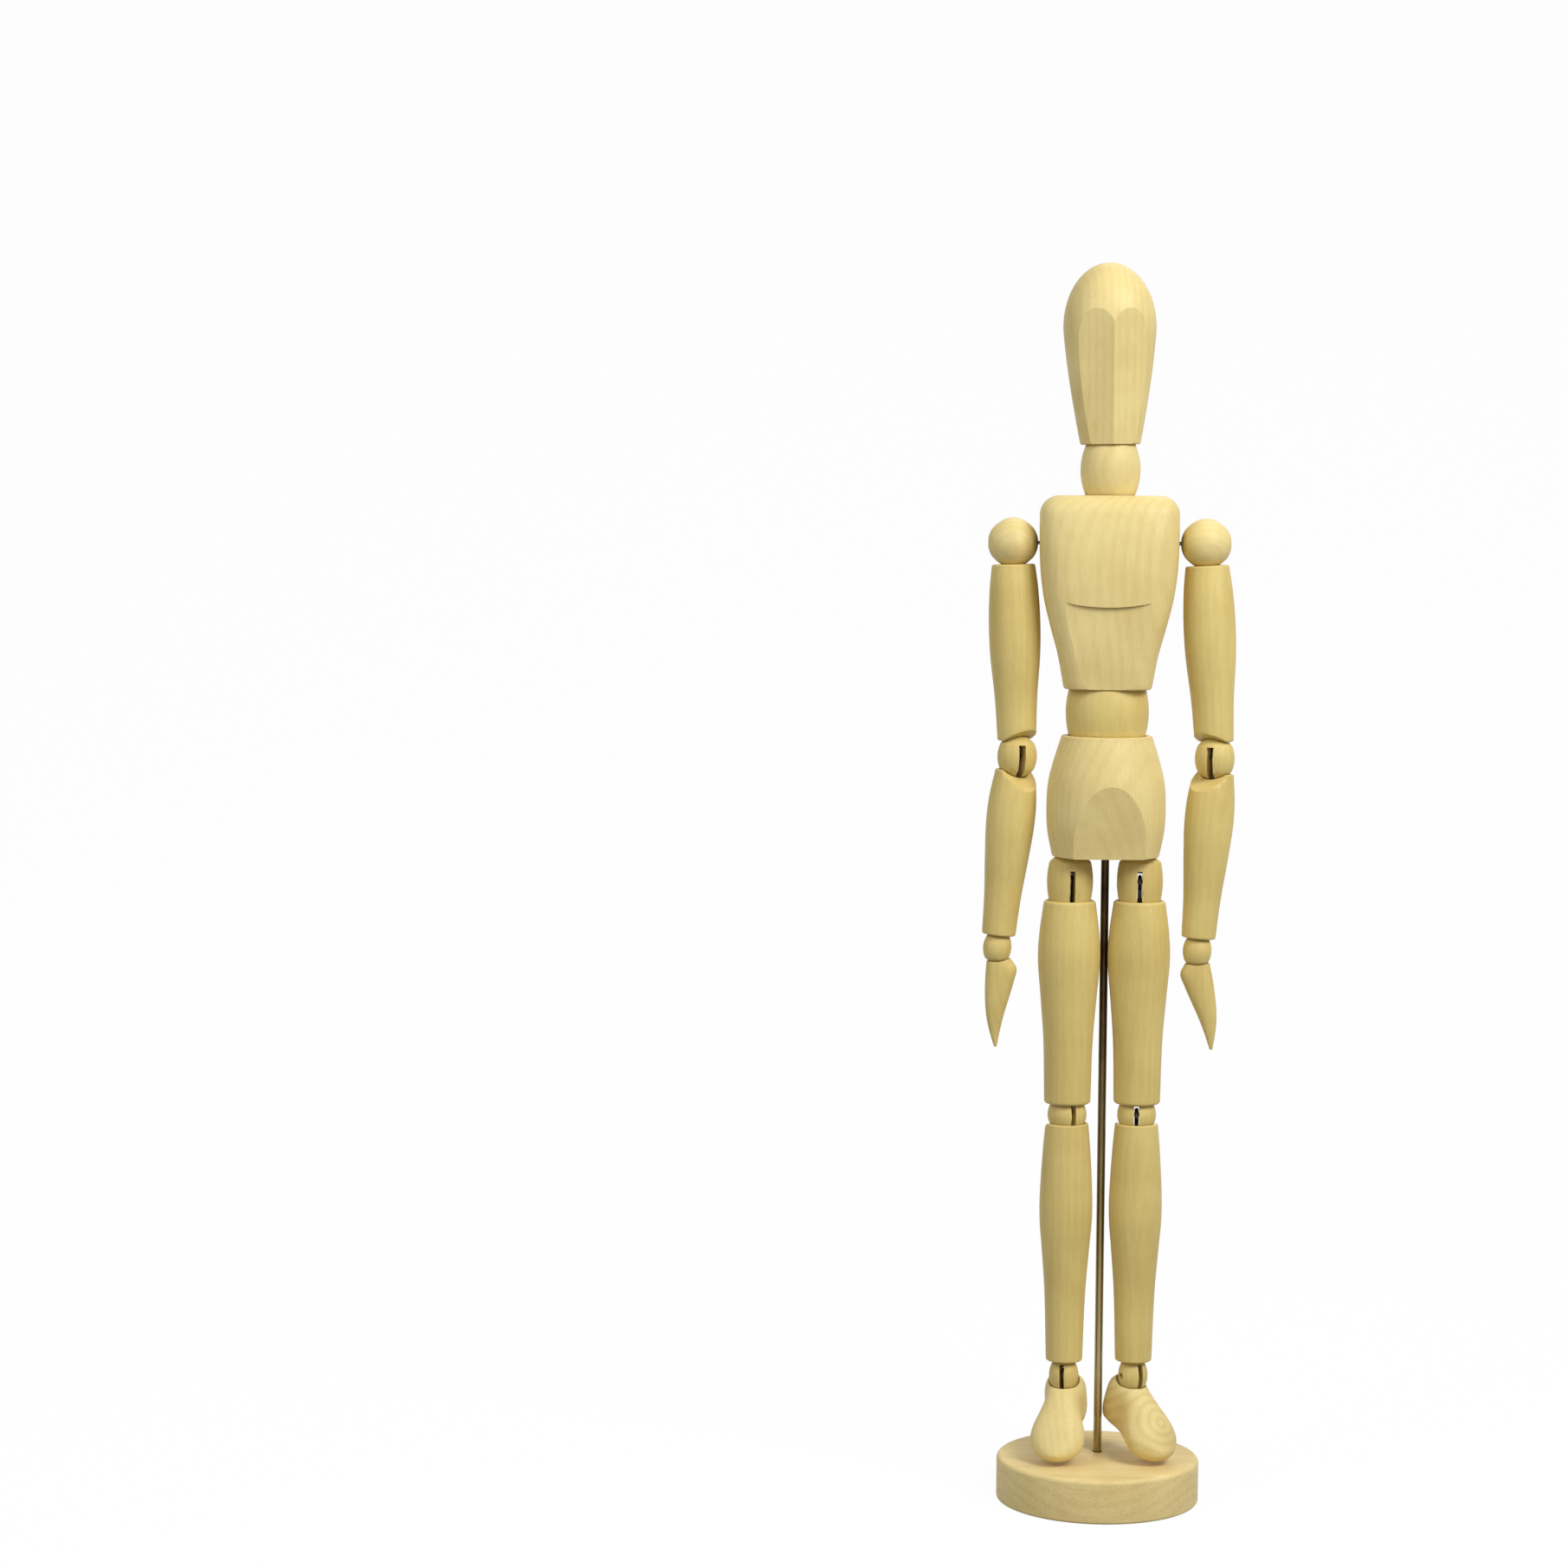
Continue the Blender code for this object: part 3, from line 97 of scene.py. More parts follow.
# The barrels at the two ends of a limb, and how far the limb's ends stand from their centres
LIMB_ENDS = {
    "upper_arm": ("shoulder", 5.3, "elbow", 4.0), "forearm": ("elbow", 3.5, "wrist", 3.2),
    "thigh": ("hip", 4.7, "knee", 2.8), "calf": ("knee", 2.1, "ankle", 3.7),
}

# The joints of a limb barrel: the one about its pin, and the one in which it turns itself
BARREL_JOINTS = {
    "shoulder": ("arm_raise_", "arm_swing_"), "elbow": ("elbow_bend_", "elbow_turn_"),
    "wrist": ("wrist_bend_", "wrist_turn_"), "hip": ("leg_swing_", "hip_turn_"),
    "knee": ("knee_bend_", "knee_turn_"), "ankle": ("foot_lift_", "ankle_turn_"),
}

# Springs of the trunk: radius of the bore, of its mouths in the barrel and of the tail hole, and how far
# the bore and the tail hole reach from the barrel's centre
SPRING_HOLES = {"waist": (4.1, 5.4, 0.75, 12.0, 17.9), "neck": (3.3, 4.6, 0.65, 10.0, 13.2)}

# Chest: height, half width, half depth, round of the top, and drop of the breast line under the top
CHEST_TALL, CHEST_WIDE, CHEST_DEEP, CHEST_CORNER, BREAST_DROP = 47.1, 17.0, 12.8, 4.7, 26.9


def linear(code):
    """Turn an sRGB hex colour into the linear colour that shaders take."""
    channels = [int(code[i:i + 2], 16) / 255.0 for i in (1, 3, 5)]
    return [c / 12.92 if c <= 0.04045 else ((c + 0.055) / 1.055) ** 2.4 for c in channels] + [1.0]


def add_node(tree, kind, values=None, links=None, **settings):
    """Add a node, set its properties and input values, and link its inputs."""
    made = tree.nodes.new(kind)
    for name, value in settings.items():
        setattr(made, name, value)
    for name, value in (values or {}).items():
        made.inputs[name].default_value = value
    for name, socket in (links or {}).items():
        tree.links.new(socket, made.inputs[name])
    return made


def new_material(name):
    """An empty node material."""
    made = bpy.data.materials.new(name)
    made.use_nodes = True
    made.node_tree.nodes.clear()
    return made


def closed(made, shader):
    """A material whose surface is this shader."""
    add_node(made.node_tree, "ShaderNodeOutputMaterial", None, {"Surface": shader.outputs[0]})
    return made


def noise(tree, place, scale, detail=3.0, roughness=0.5):
    """A cloudy pattern, scale patches to a unit of place."""
    values = {"Scale": scale, "Detail": detail, "Roughness": roughness}
    return add_node(tree, "ShaderNodeTexNoise", values, {"Vector": place}).outputs["Fac"]


def remap(tree, value, span, result):
    """Map a span of a value onto another one."""
    values = dict(zip(("From Min", "From Max", "To Min", "To Max"), span + result))
    return add_node(tree, "ShaderNodeMapRange", values, {"Value": value}).outputs[0]


def combine(tree, operation, first, second):
    """A sum, a product or the larger of two values."""
    return add_node(tree, "ShaderNodeMath", None, {0: first, 1: second}, operation=operation).outputs[0]


def ramp(tree, value, colours, ends=(0.0, 1.0)):
    """A colour that goes from one to another with a value."""
    made = add_node(tree, "ShaderNodeValToRGB", None, {"Fac": value})
    for element, colour, position in zip(made.color_ramp.elements, colours, ends):
        element.color = colour
        element.position = position
    return made.outputs["Color"]


def stretch(tree, place, scale):
    """Scale a place along each axis."""
    made = add_node(tree, "ShaderNodeVectorMath", {1: scale}, {0: place}, operation="MULTIPLY")
    return made.outputs[0]


def limewood(name, pale, deep, ring_mm, fibre_mm, figure, fleck):
    """Limewood, turned and sanded, with a thin satin varnish.

    The eye sees a pale buff ground, soft growth rings that run along a piece and open into
    arches where the lathe cuts across them, and fine short fibres. The rings are ring_mm apart.
    Real fibres are a few hundredths of a millimetre wide, too fine to show here, so they are
    drawn fibre_mm wide. Figure and fleck are how much the rings and the flecks darken the ground.
    """
    made = new_material(name)
    tree = made.node_tree
    in_mm = add_node(tree, "ShaderNodeAttribute", attribute_name="grain").outputs["Vector"]
    # The wave node repeats every 0.314 units at a scale of 1
    wave = {"Scale": 0.314 / ring_mm, "Distortion": 3.2, "Detail": 2.0, "Detail Scale": 0.6}
    rings = add_node(
        tree, "ShaderNodeTexWave", wave, {"Vector": stretch(tree, in_mm, (1.0, 1.0, 0.06))},
        wave_type="RINGS", rings_direction="Z", wave_profile="SIN",
    )
    # Fibres are about 20 times as long as they are wide
    fibres = noise(tree, stretch(tree, in_mm, (1.0, 1.0, 0.045)), 0.9 / fibre_mm, 4.0, 0.62)
    # Clouds of colour about 14 mm across, and flecks of about half a millimetre
    cloud = noise(tree, in_mm, 0.07)
    flecks = noise(tree, in_mm, 2.2, roughness=0.7)
    layers = (
        (rings.outputs["Fac"], (0.25, 1.0), figure), (fibres, (0.36, 0.68), 0.12),
        (cloud, (0.35, 0.65), 0.2), (flecks, (0.5, 0.72), fleck),
    )
    shares = [remap(tree, pattern, span, (0.0, share)) for pattern, span, share in layers]
    grain, patch = combine(tree, "ADD", *shares[:2]), combine(tree, "ADD", *shares[2:])
    colour = ramp(tree, combine(tree, "ADD", grain, patch), (pale, deep))
    satin = remap(tree, fibres, (0.3, 0.7), (0.42, 0.58))
    relief = add_node(tree, "ShaderNodeBump", {"Strength": 0.10, "Distance": 0.00025}, {"Height": fibres})
    shader = add_node(
        tree, "ShaderNodeBsdfPrincipled", {"IOR": 1.48, "Specular IOR Level": 0.38},
        {"Base Color": colour, "Roughness": satin, "Normal": relief.outputs[0]},
    )
    return closed(made, shader)


def drawn_steel(name, pale, deep, low, high, foot=None):
    """Steel wire or rod, drawn through a die and browned by heat.

    The eye sees a grey-brown metal with fine lines along it and duller patches. A foot colour, where one is
    given, is painted light: a lighter lower end that stands for the white floor reflected in the rod. It
    gives way upward to the darker brown, painted shade where the rod runs up between the legs.
    Low and high are the least and the greatest roughness.
    """
    made = new_material(name)
    tree = made.node_tree
    place = add_node(tree, "ShaderNodeTexCoord").outputs["Object"]
    # Die marks are a few thousandths of a millimetre wide, too fine to show, so they are drawn 0.2 mm wide
    draw_marks = noise(tree, stretch(tree, place, (5000.0, 5000.0, 180.0)), 1.0)
    # Patches are about 6 mm across
    tone = ramp(tree, noise(tree, place, 160.0), (deep, pale), (0.3, 0.7))
    if foot is not None:
        # Painted reflection and painted shade: the lighter foot colour at the bottom stands for the white
        # floor reflected in the rod, and the colour darkens upward where the rod runs into shade between the
        # legs
        height = add_node(tree, "ShaderNodeSeparateXYZ", None, {0: place}).outputs["Z"]
        painted_shade_upward = remap(tree, height, (0.03, 0.13), (0.0, 1.0))
        tone = add_node(tree, "ShaderNodeMix", {6: foot}, {0: painted_shade_upward, 7: tone}, data_type="RGBA").outputs[2]
    dull = remap(tree, draw_marks, (0.3, 0.7), (low, high))
    links = {"Base Color": tone, "Roughness": dull}
    shader = add_node(tree, "ShaderNodeBsdfPrincipled", {"Metallic": 1.0}, links)
    return closed(made, shader)


def seamless_paper(name, colour, bounce, showing):
    """Studio paper: matt and even; the camera sees mostly its white, with a trace of the shadow on it.

    Light that comes back off it onto the figure is dimmed to the bounce colour.
    """
    made = new_material(name)
    tree = made.node_tree
    place = add_node(tree, "ShaderNodeTexCoord").outputs["Object"]
    # The tooth of the paper is drawn about 1 mm wide, coarser than it is, so that it shows
    tooth = noise(tree, place, 900.0, 2.0)
    relief = add_node(tree, "ShaderNodeBump", {"Strength": 0.05, "Distance": 0.0002}, {"Height": tooth})
    ray = add_node(tree, "ShaderNodeLightPath")
    to_camera = ray.outputs["Is Camera Ray"]
    tone = add_node(tree, "ShaderNodeMix", {6: bounce, 7: colour}, {0: to_camera}, data_type="RGBA")
    links = {"Color": tone.outputs[2], "Normal": relief.outputs[0]}
    paper = add_node(tree, "ShaderNodeBsdfDiffuse", {"Roughness": 0.9}, links)
    white = add_node(tree, "ShaderNodeEmission", {"Color": (1.0, 1.0, 1.0, 1.0), "Strength": 1.0})
    seen = combine(tree, "MAXIMUM", to_camera, ray.outputs["Is Glossy Ray"])
    share = add_node(tree, "ShaderNodeMath", {1: showing}, {0: seen}, operation="MULTIPLY")
    mixed = add_node(
        tree, "ShaderNodeMixShader", None, {"Fac": share.outputs[0], 1: paper.outputs[0], 2: white.outputs[0]}
    )
    return closed(made, mixed)


# Kinds of limewood: the panel's colours, millimetres between rings, width of the drawn fibres in
# millimetres, and how much the rings and the flecks darken the ground
WOODS = {
    # The limb kind, used on the limbs, hands, waist and lower barrels, takes the limb colours. These are
    # darker and more golden than the trunk's: partly the limbs' own tone, partly painted shade, since less
    # light falls there than on the head and chest
    "limewood_turned": ("wood", 1.8, 0.4, 0.08, 0.08), "limewood_limb_shaded": ("limb", 1.8, 0.4, 0.06, 0.08),
    "limewood_across": ("wood", 2.3, 0.4, 0.2, 0.08), "limewood_disc": ("disc", 2.6, 0.6, 0.10, 0.34),
}


def finish_of(kind):
    """The material of a kind of piece, made once from the panel's colours."""
    made = bpy.data.materials.get(kind)
    if made is not None:
        return made
    look = bpy.context.scene.mannequin_colours
    if kind in WOODS:
        colours, *pattern = WOODS[kind]
        pale, deep = (linear(getattr(look, f"{colours}_{tone}")) for tone in ("pale", "deep"))
        return limewood(kind, pale, deep, *pattern)
    if kind == "steel_rod_drawn":
        # The rod's foot colour is a painted reflection of the white floor on its lower end
        foot = linear(look.rod_foot)
        return drawn_steel(kind, linear(look.rod_pale), linear(look.rod_deep), 0.26, 0.4, foot)
    return drawn_steel(kind, linear(look.wire_pale), linear(look.wire_deep), 0.3, 0.48)


def arc(radius, start, end, count, level=0.0):
    """Points of radius and height on a circle centred on the axis at a level, angles from the horizontal."""
    angles = [start + (end - start) * i / (count - 1) for i in range(count)]
    return [(radius * math.cos(a), level + radius * math.sin(a)) for a in angles]


def smooth(table, share):
    """Read a smooth curve through a table of share and value."""
    for i in range(len(table) - 1):
        (x0, y0), (x1, y1) = table[i], table[i + 1]
        if share <= x1:
            before, after = table[max(i - 1, 0)], table[min(i + 2, len(table) - 1)]
            slope0 = (y1 - before[1]) / (x1 - before[0])
            slope1 = (after[1] - y0) / (after[0] - x0)
            span = x1 - x0
            t = (share - x0) / span
            start = (2 * t ** 3 - 3 * t ** 2 + 1) * y0 + (t ** 3 - 2 * t ** 2 + t) * span * slope0
            return start + (3 * t ** 2 - 2 * t ** 3) * y1 + (t ** 3 - t ** 2) * span * slope1
    return table[-1][1]


def barrel(name):
    """Half width, half end width and half height of a barrel."""
    return [size * MM / 2.0 for size in BARRELS[name]]


def reach(name):
    """Distance from a barrel's centre to its domed ends."""
    _, end, height = barrel(name)
    return math.hypot(end, height)


def spring_hole(name):
    """Radii of a spring's bore, mouths and tail hole, and how far the bore and the tail hole reach."""
    return [size * MM for size in SPRING_HOLES[name]]


def rounded(radius, height, up, edge, count=8):
    """Points of a quarter round, downward, at a turned piece's rim: up is 1 at its top and -1 at its foot."""
    points = []
    for i in range(count + 1):
        turn = math.pi / 2.0 * i / count
        points.append((radius - edge + edge * math.sin(turn), height - up * (edge - edge * math.cos(turn))))
    return points if up > 0.0 else points[::-1]


def turned_side(radii, top, bottom, edge, rings):
    """Points down the side of a turned piece, from a table of share and radius, with a round at each rim."""
    points = rounded(radii[0][1], top, 1.0, edge)
    for i in range(1, rings):
        share = i / rings
        points.append((smooth(radii, share), top - edge - (top - bottom - 2.0 * edge) * share))
    return points + rounded(radii[-1][1], bottom, -1.0, edge)


def barrel_outline(name, top_hole, end_hole, rings=14):
    """Points down the outer side of a barrel, from the hole in one domed end to the other."""
    half, end, height = barrel(name)
    dome = reach(name)
    edge = math.asin(height / dome)
    side = []
    for i in range(1, rings):
        share = 1.0 - 2.0 * i / rings
        side.append((half - (half - end) * share ** 2, share * height))
    top = arc(dome, math.acos(top_hole / dome), edge, 8)
    return top + side + arc(dome, -edge, -math.acos(end_hole / dome), 8)


def lathe(outline, steps):
    """Turn a closed outline of radius and height about Z."""
    shape = bmesh.new()
    rows = []
    for radius, height in outline:
        if radius < 1e-9:
            rows.append([shape.verts.new((0.0, 0.0, height))])
            continue
        angles = [math.tau * i / steps for i in range(steps)]
        rows.append([shape.verts.new((radius * math.cos(a), radius * math.sin(a), height)) for a in angles])
    for row, below in zip(rows, rows[1:] + rows[:1]):
        if len(row) == 1 and len(below) == 1:
            continue
        for i in range(steps):
            j = (i + 1) % steps
            corners = [row[i % len(row)], row[j % len(row)], below[j % len(below)], below[i % len(below)]]
            shape.faces.new(list(dict.fromkeys(corners)))
    return shape


def loft(rings):
    """Skin a stack of rings that have the same number of points."""
    shape = bmesh.new()
    loops = [[shape.verts.new(point) for point in ring] for ring in rings]
    count = len(loops[0])
    for upper, lower in zip(loops, loops[1:]):
        for i in range(count):
            j = (i + 1) % count
            shape.faces.new((upper[i], upper[j], lower[j], lower[i]))
    shape.faces.new(loops[0])
    shape.faces.new(loops[-1])
    return shape


def oval(half_x, half_y, squareness, steps):
    """Points on a rounded outline between an ellipse and a rectangle."""
    points = []
    for i in range(steps):
        c, s = math.cos(math.tau * i / steps), math.sin(math.tau * i / steps)
        x = math.copysign(abs(c) ** (2.0 / squareness), c) * half_x
        y = math.copysign(abs(s) ** (2.0 / squareness), s) * half_y
        points.append((x, y))
    return points


def block(size, place):
    """A box of this size, put in place by a matrix."""
    shape = bmesh.new()
    bmesh.ops.create_cube(shape, size=1.0)
    bmesh.ops.scale(shape, vec=size, verts=shape.verts)
    bmesh.ops.transform(shape, matrix=place, verts=shape.verts)
    return shape


def bar(diameter, length, place):
    """A round bar about its centre along Z, put in place by a matrix."""
    shape = bmesh.new()
    radius = diameter / 2.0
    bmesh.ops.create_cone(
        shape, cap_ends=True, segments=24, radius1=radius, radius2=radius, depth=length, matrix=place
    )
    return shape


def ball(radius, place):
    """A ball, put in place by a matrix."""
    shape = bmesh.new()
    bmesh.ops.create_uvsphere(shape, u_segments=64, v_segments=32, radius=radius, matrix=place)
    return shape


def spring_drills(name, place):
    """Bars that drill a spring's bore and its tail hole, put in place by a matrix."""
    bore, _, tail, floor, tail_end = spring_hole(name)
    return [bar(2.0 * bore, 2.0 * floor, place), bar(2.0 * tail, 2.0 * tail_end, place)]


def add_object(name, data):
    """Make an object and link it into the scene."""
    made = bpy.data.objects.new(name, data)
    bpy.context.scene.collection.objects.link(made)
    return made


def to_mesh(shape, name):
    """Turn a bmesh into a mesh with its faces outward."""
    bmesh.ops.recalc_face_normals(shape, faces=shape.faces)
    mesh = bpy.data.meshes.new(name)
    shape.to_mesh(mesh)
    shape.free()
    return mesh


def lay_grain(mesh, name, stock, heart):
    """Note where each point lay in its blank, in millimetres, so that no two pieces share a figure.

    The heart of the blank is where its rings are centred; without one it lies beside the piece.
    """
    if heart is None:
        chance = random.Random(name)
        spans = ((9.0, 20.0), (-16.0, 16.0), (-200.0, 200.0))
        heart = Vector([chance.uniform(low, high) for low, high in spans])
    places = []
    for vertex in mesh.vertices:
        places.extend(stock @ vertex.co / MM + heart)
    mesh.attributes.new("grain", "FLOAT_VECTOR", "POINT").data.foreach_set("vector", places)


def add_knives(piece, cuts, operation):
    """Hang Boolean cuts on a piece and return the objects that cut it."""
    knives = []
    for i, cutter in enumerate(cuts):
        label = f"{piece.name}_knife_{i}"
        knife = add_object(label, to_mesh(cutter, label))
        knives.append(knife)
        boolean = piece.modifiers.new(label, "BOOLEAN")
        boolean.operation = operation
        boolean.solver = "EXACT"
        boolean.object = knife
    return knives


def settle(piece, knives, finish, crease):
    """Apply a piece's modifiers, remove what cut it and give it its shading and finish."""
    done = piece.evaluated_get(bpy.context.evaluated_depsgraph_get())
    mesh = bpy.data.meshes.new_from_object(done)
    if not mesh.polygons:
        raise RuntimeError("nothing is left of " + piece.name)
    piece.modifiers.clear()
    piece.data = mesh
    for knife in knives:
        bpy.data.objects.remove(knife, do_unlink=True)
    mesh.shade_smooth()
    mesh.set_sharp_from_angle(angle=math.radians(crease))
    mesh.materials.clear()
    mesh.materials.append(finish_of(finish))
    return mesh


def carve(
    name, shape, cuts, place, body, finish,
    sanded=SANDED, slot="pale_wood", crease=32.0, stock=None, heart=None,
):
    """Make a piece: cut it, soften its corners, give it a finish and let it ride on its body.

    Corners are softened; flats that meet under the crease angle are shaded as one surface, and
    those that meet more sharply keep a line between them. The stock matrix turns the piece in
    its blank, whose grain runs along Z; without one the grain runs along the piece's own Z.
    """
    piece = add_object("wood_" + name, to_mesh(shape, name))
    knives = add_knives(piece, cuts, "DIFFERENCE")
    if sanded > 0.0:
        bevel = piece.modifiers.new("sanded corners", "BEVEL")
        bevel.width = sanded
        bevel.segments = 2
        bevel.limit_method = "ANGLE"
        bevel.angle_limit = math.radians(SANDED_ANGLE)
    mesh = settle(piece, knives, finish, crease)
    lay_grain(mesh, name, stock or Matrix(), heart)
    mesh.transform(place)
    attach(piece, body)
    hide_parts(name)


def centre(joint):
    """Where a joint turns."""
    return Vector(JOINTS[joint]["pos_m"])


def axis(joint):
    """The way a joint's axis points."""
    return Vector(JOINTS[joint]["axis"])


def moved(x, y, z):
    """The matrix of a move."""
    return Matrix.Translation((x, y, z))


def turned(by, about):
    """The matrix of a turn about X, Y or Z."""
    return Matrix.Rotation(by, 4, about)


def square_to(origin, up, across):
    """A frame at this point: Z along up, X as near across as it can be."""
    z = up.normalized()
    x = (across - across.dot(z) * z).normalized()
    y = z.cross(x)
    return Matrix.Translation(origin) @ Matrix((x, y, z)).transposed().to_4x4()


def limb_place(kind, side):
    """The frame of a limb at the barrel above it, front towards -Y, and the distance to the barrel below."""
    top_barrel, _, end_barrel, _ = LIMB_ENDS[kind]
    top, end = BARREL_JOINTS[top_barrel][0] + side, BARREL_JOINTS[end_barrel][0] + side
    up = centre(top) - centre(end)
    if kind == "thigh":
        across = -axis(top)
    elif kind == "calf":
        across = axis(top)
    else:
        across = (-SIDES[side] * axis(top if kind == "upper_arm" else end)).cross(up)
    return square_to(centre(top), up, across), up.length


def barrel_place(kind, side):
    """The frame of a limb barrel: Z towards the piece that holds it, X along its pin."""
    sign = SIDES[side]
    bend, turn = (joint + side for joint in BARREL_JOINTS[kind])
    if kind == "shoulder":
        return square_to(centre(turn), Vector((-sign, 0.0, 0.0)), Vector((0.0, 1.0, 0.0)))
    pin_sign = {"wrist": -sign, "knee": 1.0}.get(kind, -1.0)
    return square_to(centre(bend), sign * axis(turn), pin_sign * axis(bend))


def half_space(height, slope, heading, sign):
    """A block that slants a limb's end away from the fold: heading 0 is the front, sign 1 is the top end."""
    size = 40.0 * MM
    tilt = turned(heading, "Z") @ turned(sign * slope, "X")
    middle = moved(0.0, -size / 2.0, sign * size / 2.0)
    return block((size, size, size), moved(0.0, 0.0, height) @ tilt @ middle)


def cup(name, stand_off, sign, hole, level=0.0):
    """Points of the cup round a barrel, from its rim to the wire hole."""
    radius = reach(name) + GAP
    rim, deep = math.asin(stand_off / radius), math.acos(hole / radius)
    return arc(radius, sign * rim, sign * deep, 10, level)


def turned_limb(kind, side, cuts):
    """A turned limb with a cup at each end and a wire hole through it."""
    place, span = limb_place(kind, side)
    top_barrel, top_gap, end_barrel, end_gap = LIMB_ENDS[kind]
    top, bottom = -top_gap * MM, -span + end_gap * MM
    sizes = bpy.context.scene.mannequin_sizes
    girth = [(share, (wide * MM - sizes.sanded_off) / 2.0) for share, wide in GIRTHS[kind]]
    edge = sizes.thigh_edge if kind == "thigh" else sizes.limb_edge
    outline = turned_side(girth, top, bottom, edge, 26)
    hole = sizes.wire / 2.0 + LIMB_ROOM
    outline += cup(end_barrel, end_gap * MM, 1.0, hole, -span)
    outline += reversed(cup(top_barrel, top_gap * MM, -1.0, hole))
    knives = []
    for slope, heading, sign in cuts:
        knives.append(half_space(top if sign > 0.0 else bottom, slope, heading, sign))
    name = f"{kind}_{side}"
    carve(name, lathe(outline, sizes.facets), knives, place, name, "limewood_limb_shaded")


def length(name, description, size):
    """A length that a user may change, given in millimetres."""
    return FloatProperty(name=name, description=description, default=size * MM, unit="LENGTH", precision=5)


def angle(name, description, degrees):
    """An angle that a user may change, given in degrees."""
    return FloatProperty(name=name, description=description, default=math.radians(degrees), subtype="ANGLE")


def paint(name, description, code):
    """A colour that a user may change, as an sRGB hex value."""
    return StringProperty(name=name, description=description, default=code)


def amount(name, description, value):
    """A number that a user may change."""
    return FloatProperty(name=name, description=description, default=value)


class MannequinSizes(bpy.types.PropertyGroup):
    """Sizes that a user may change."""

    facets: IntProperty(name="Facets", description="Steps round a turned limb", default=72, min=24, max=160)
    limb_edge: length("Limb edge", "Round on the rim of a limb", 0.5)
    thigh_edge: length("Thigh edge", "Round on the rim of a thigh", 0.8)
    wire: length("Wire", "Diameter of the limb wires", 1.0)
    slot_width: length("Slot", "Width of the slot in a barrel", 1.25)
    elbow_slot: length("Elbow slot", "Width of the slot in an elbow", 1.7)
    sanded_off: length("Sanded off", "What sanding takes off a limb's girth", 0.16)
    slot_rise: length("Slot rise", "Height of the slot over a barrel's centre", 2.9)
    elbow_cut: angle("Upper arm cut", "Slope of the cut over the elbow", 28.0)
    forearm_cut: angle("Forearm cut", "Slope of the cut under the elbow", 40.0)
    knee_cut: angle("Knee cut", "Slope of the cuts behind the knee", 34.0)


class MannequinColours(bpy.types.PropertyGroup):
    """Colours of the finishes, as sRGB hex values."""

    wood_pale: paint("Wood, pale", "Ground colour of the limewood", "#EEDB98")
    wood_deep: paint("Wood, deep", "Colour of its late growth", "#C09A50")
    # The limb colours are darker than the wood colours: partly the limbs' own more golden tone, partly
    # painted shade for limbs that get less light than the head and chest
    limb_pale: paint("Limb, pale", "Ground colour of the limbs", "#E4CE82")
    limb_deep: paint("Limb, deep", "Ring colour of the limbs", "#AF8A3F")
    disc_pale: paint("Disc, pale", "Ground colour of the stand", "#F4DF9E")
    disc_deep: paint("Disc, deep", "Colour of its grain", "#C29B55")
    rod_pale: paint("Rod, pale", "Bright patches of the rod", "#6E5E45")
    rod_deep: paint("Rod, deep", "Dull patches of the rod", "#3E3121")
    # Painted reflection: a lighter colour for the rod's lower end, standing for the white floor reflected in
    # it
    rod_foot: paint("Rod, foot", "Polished end of the rod", "#A99C74")
    wire_pale: paint("Wire, pale", "Bright patches of the wire", "#8C867B")
    wire_deep: paint("Wire, deep", "Dull patches of the wire", "#4A453D")
    paper: paint("Paper", "Colour of the studio paper", "#FAFAF8")
    bounce: paint("Bounce", "Colour of the light off the paper", "#9A9A97")


class StudioSettings(bpy.types.PropertyGroup):
    """The light and the camera."""

    key: amount("Key light", "Power of the lamp in front, high at the right", 4.7)
    fill: amount("Fill light", "Power of the lamp in front, high at the left", 2.0)
    back: amount("Back light", "Power of the lamp high behind the figure", 1.0)
    sky: amount("Sky", "Strength of the even light all round", 0.38)
    paper_white: amount("Paper white", "Share of plain white in what the camera sees of the paper", 0.965)
    camera_place: FloatVectorProperty(
        name="Camera", description="Where the camera stands", default=(0.0, -0.900, 0.245),
        subtype="TRANSLATION",
    )
    lens: amount("Lens", "Focal length in millimetres", 84.17)
    yaw: angle("Yaw", "Turn of the view to the right", -5.037)
    pitch: angle("Pitch", "Drop of the view", 4.304)
    roll: angle("Roll", "Lean of the view", 0.395)


class MANNEQUIN_OT_disc(bpy.types.Operator):
    """Turn the disc of the stand"""

    bl_idname = "mannequin.disc"
    bl_label = "Disc"

    def execute(self, context):
        low, high = (Vector(corner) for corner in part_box("base"))
        radius, height = (high.x - low.x) / 2.0, high.z
        top_edge, low_edge, floor = 1.1 * MM, 0.7 * MM, 2.5 * MM
        outline = [(0.0, height)] + rounded(radius, height, 1.0, top_edge, 6)
        outline += rounded(radius, 0.0, -1.0, low_edge, 5) + [(0.0, 0.0)]
        rod = centre("rod_turn")
        well = bar(ROD_HOLE, 2.0 * height, moved(rod.x, rod.y, height + floor))
        plank = turned(math.pi / 2.0, "Y")
        carve(
            "base", lathe(outline, DISC_STEPS), [well], Matrix(), "base", "limewood_disc",
            slot="stand_wood", stock=plank,
        )
        return {"FINISHED"}


class MANNEQUIN_OT_rod(bpy.types.Operator):
    """Draw the rod with a small bevel at each end"""

    bl_idname = "mannequin.rod"
    bl_label = "Rod"

    def execute(self, context):
        low, high = (Vector(corner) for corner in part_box("support_rod"))
        radius = (high.x - low.x) / 2.0
        middle = (low + high) / 2.0
        half = (high.z - low.z) / 2.0
        edge = 0.25 * MM
        outline = [(0.0, half)] + rounded(radius, half, 1.0, edge, 3)
        outline += rounded(radius, -half, -1.0, edge, 3) + [(0.0, -half)]
        carve(
            "support_rod", lathe(outline, ROD_STEPS), [], Matrix.Translation(middle), "rod",
            "steel_rod_drawn", sanded=0.0, slot="dark_rod",
        )
        return {"FINISHED"}


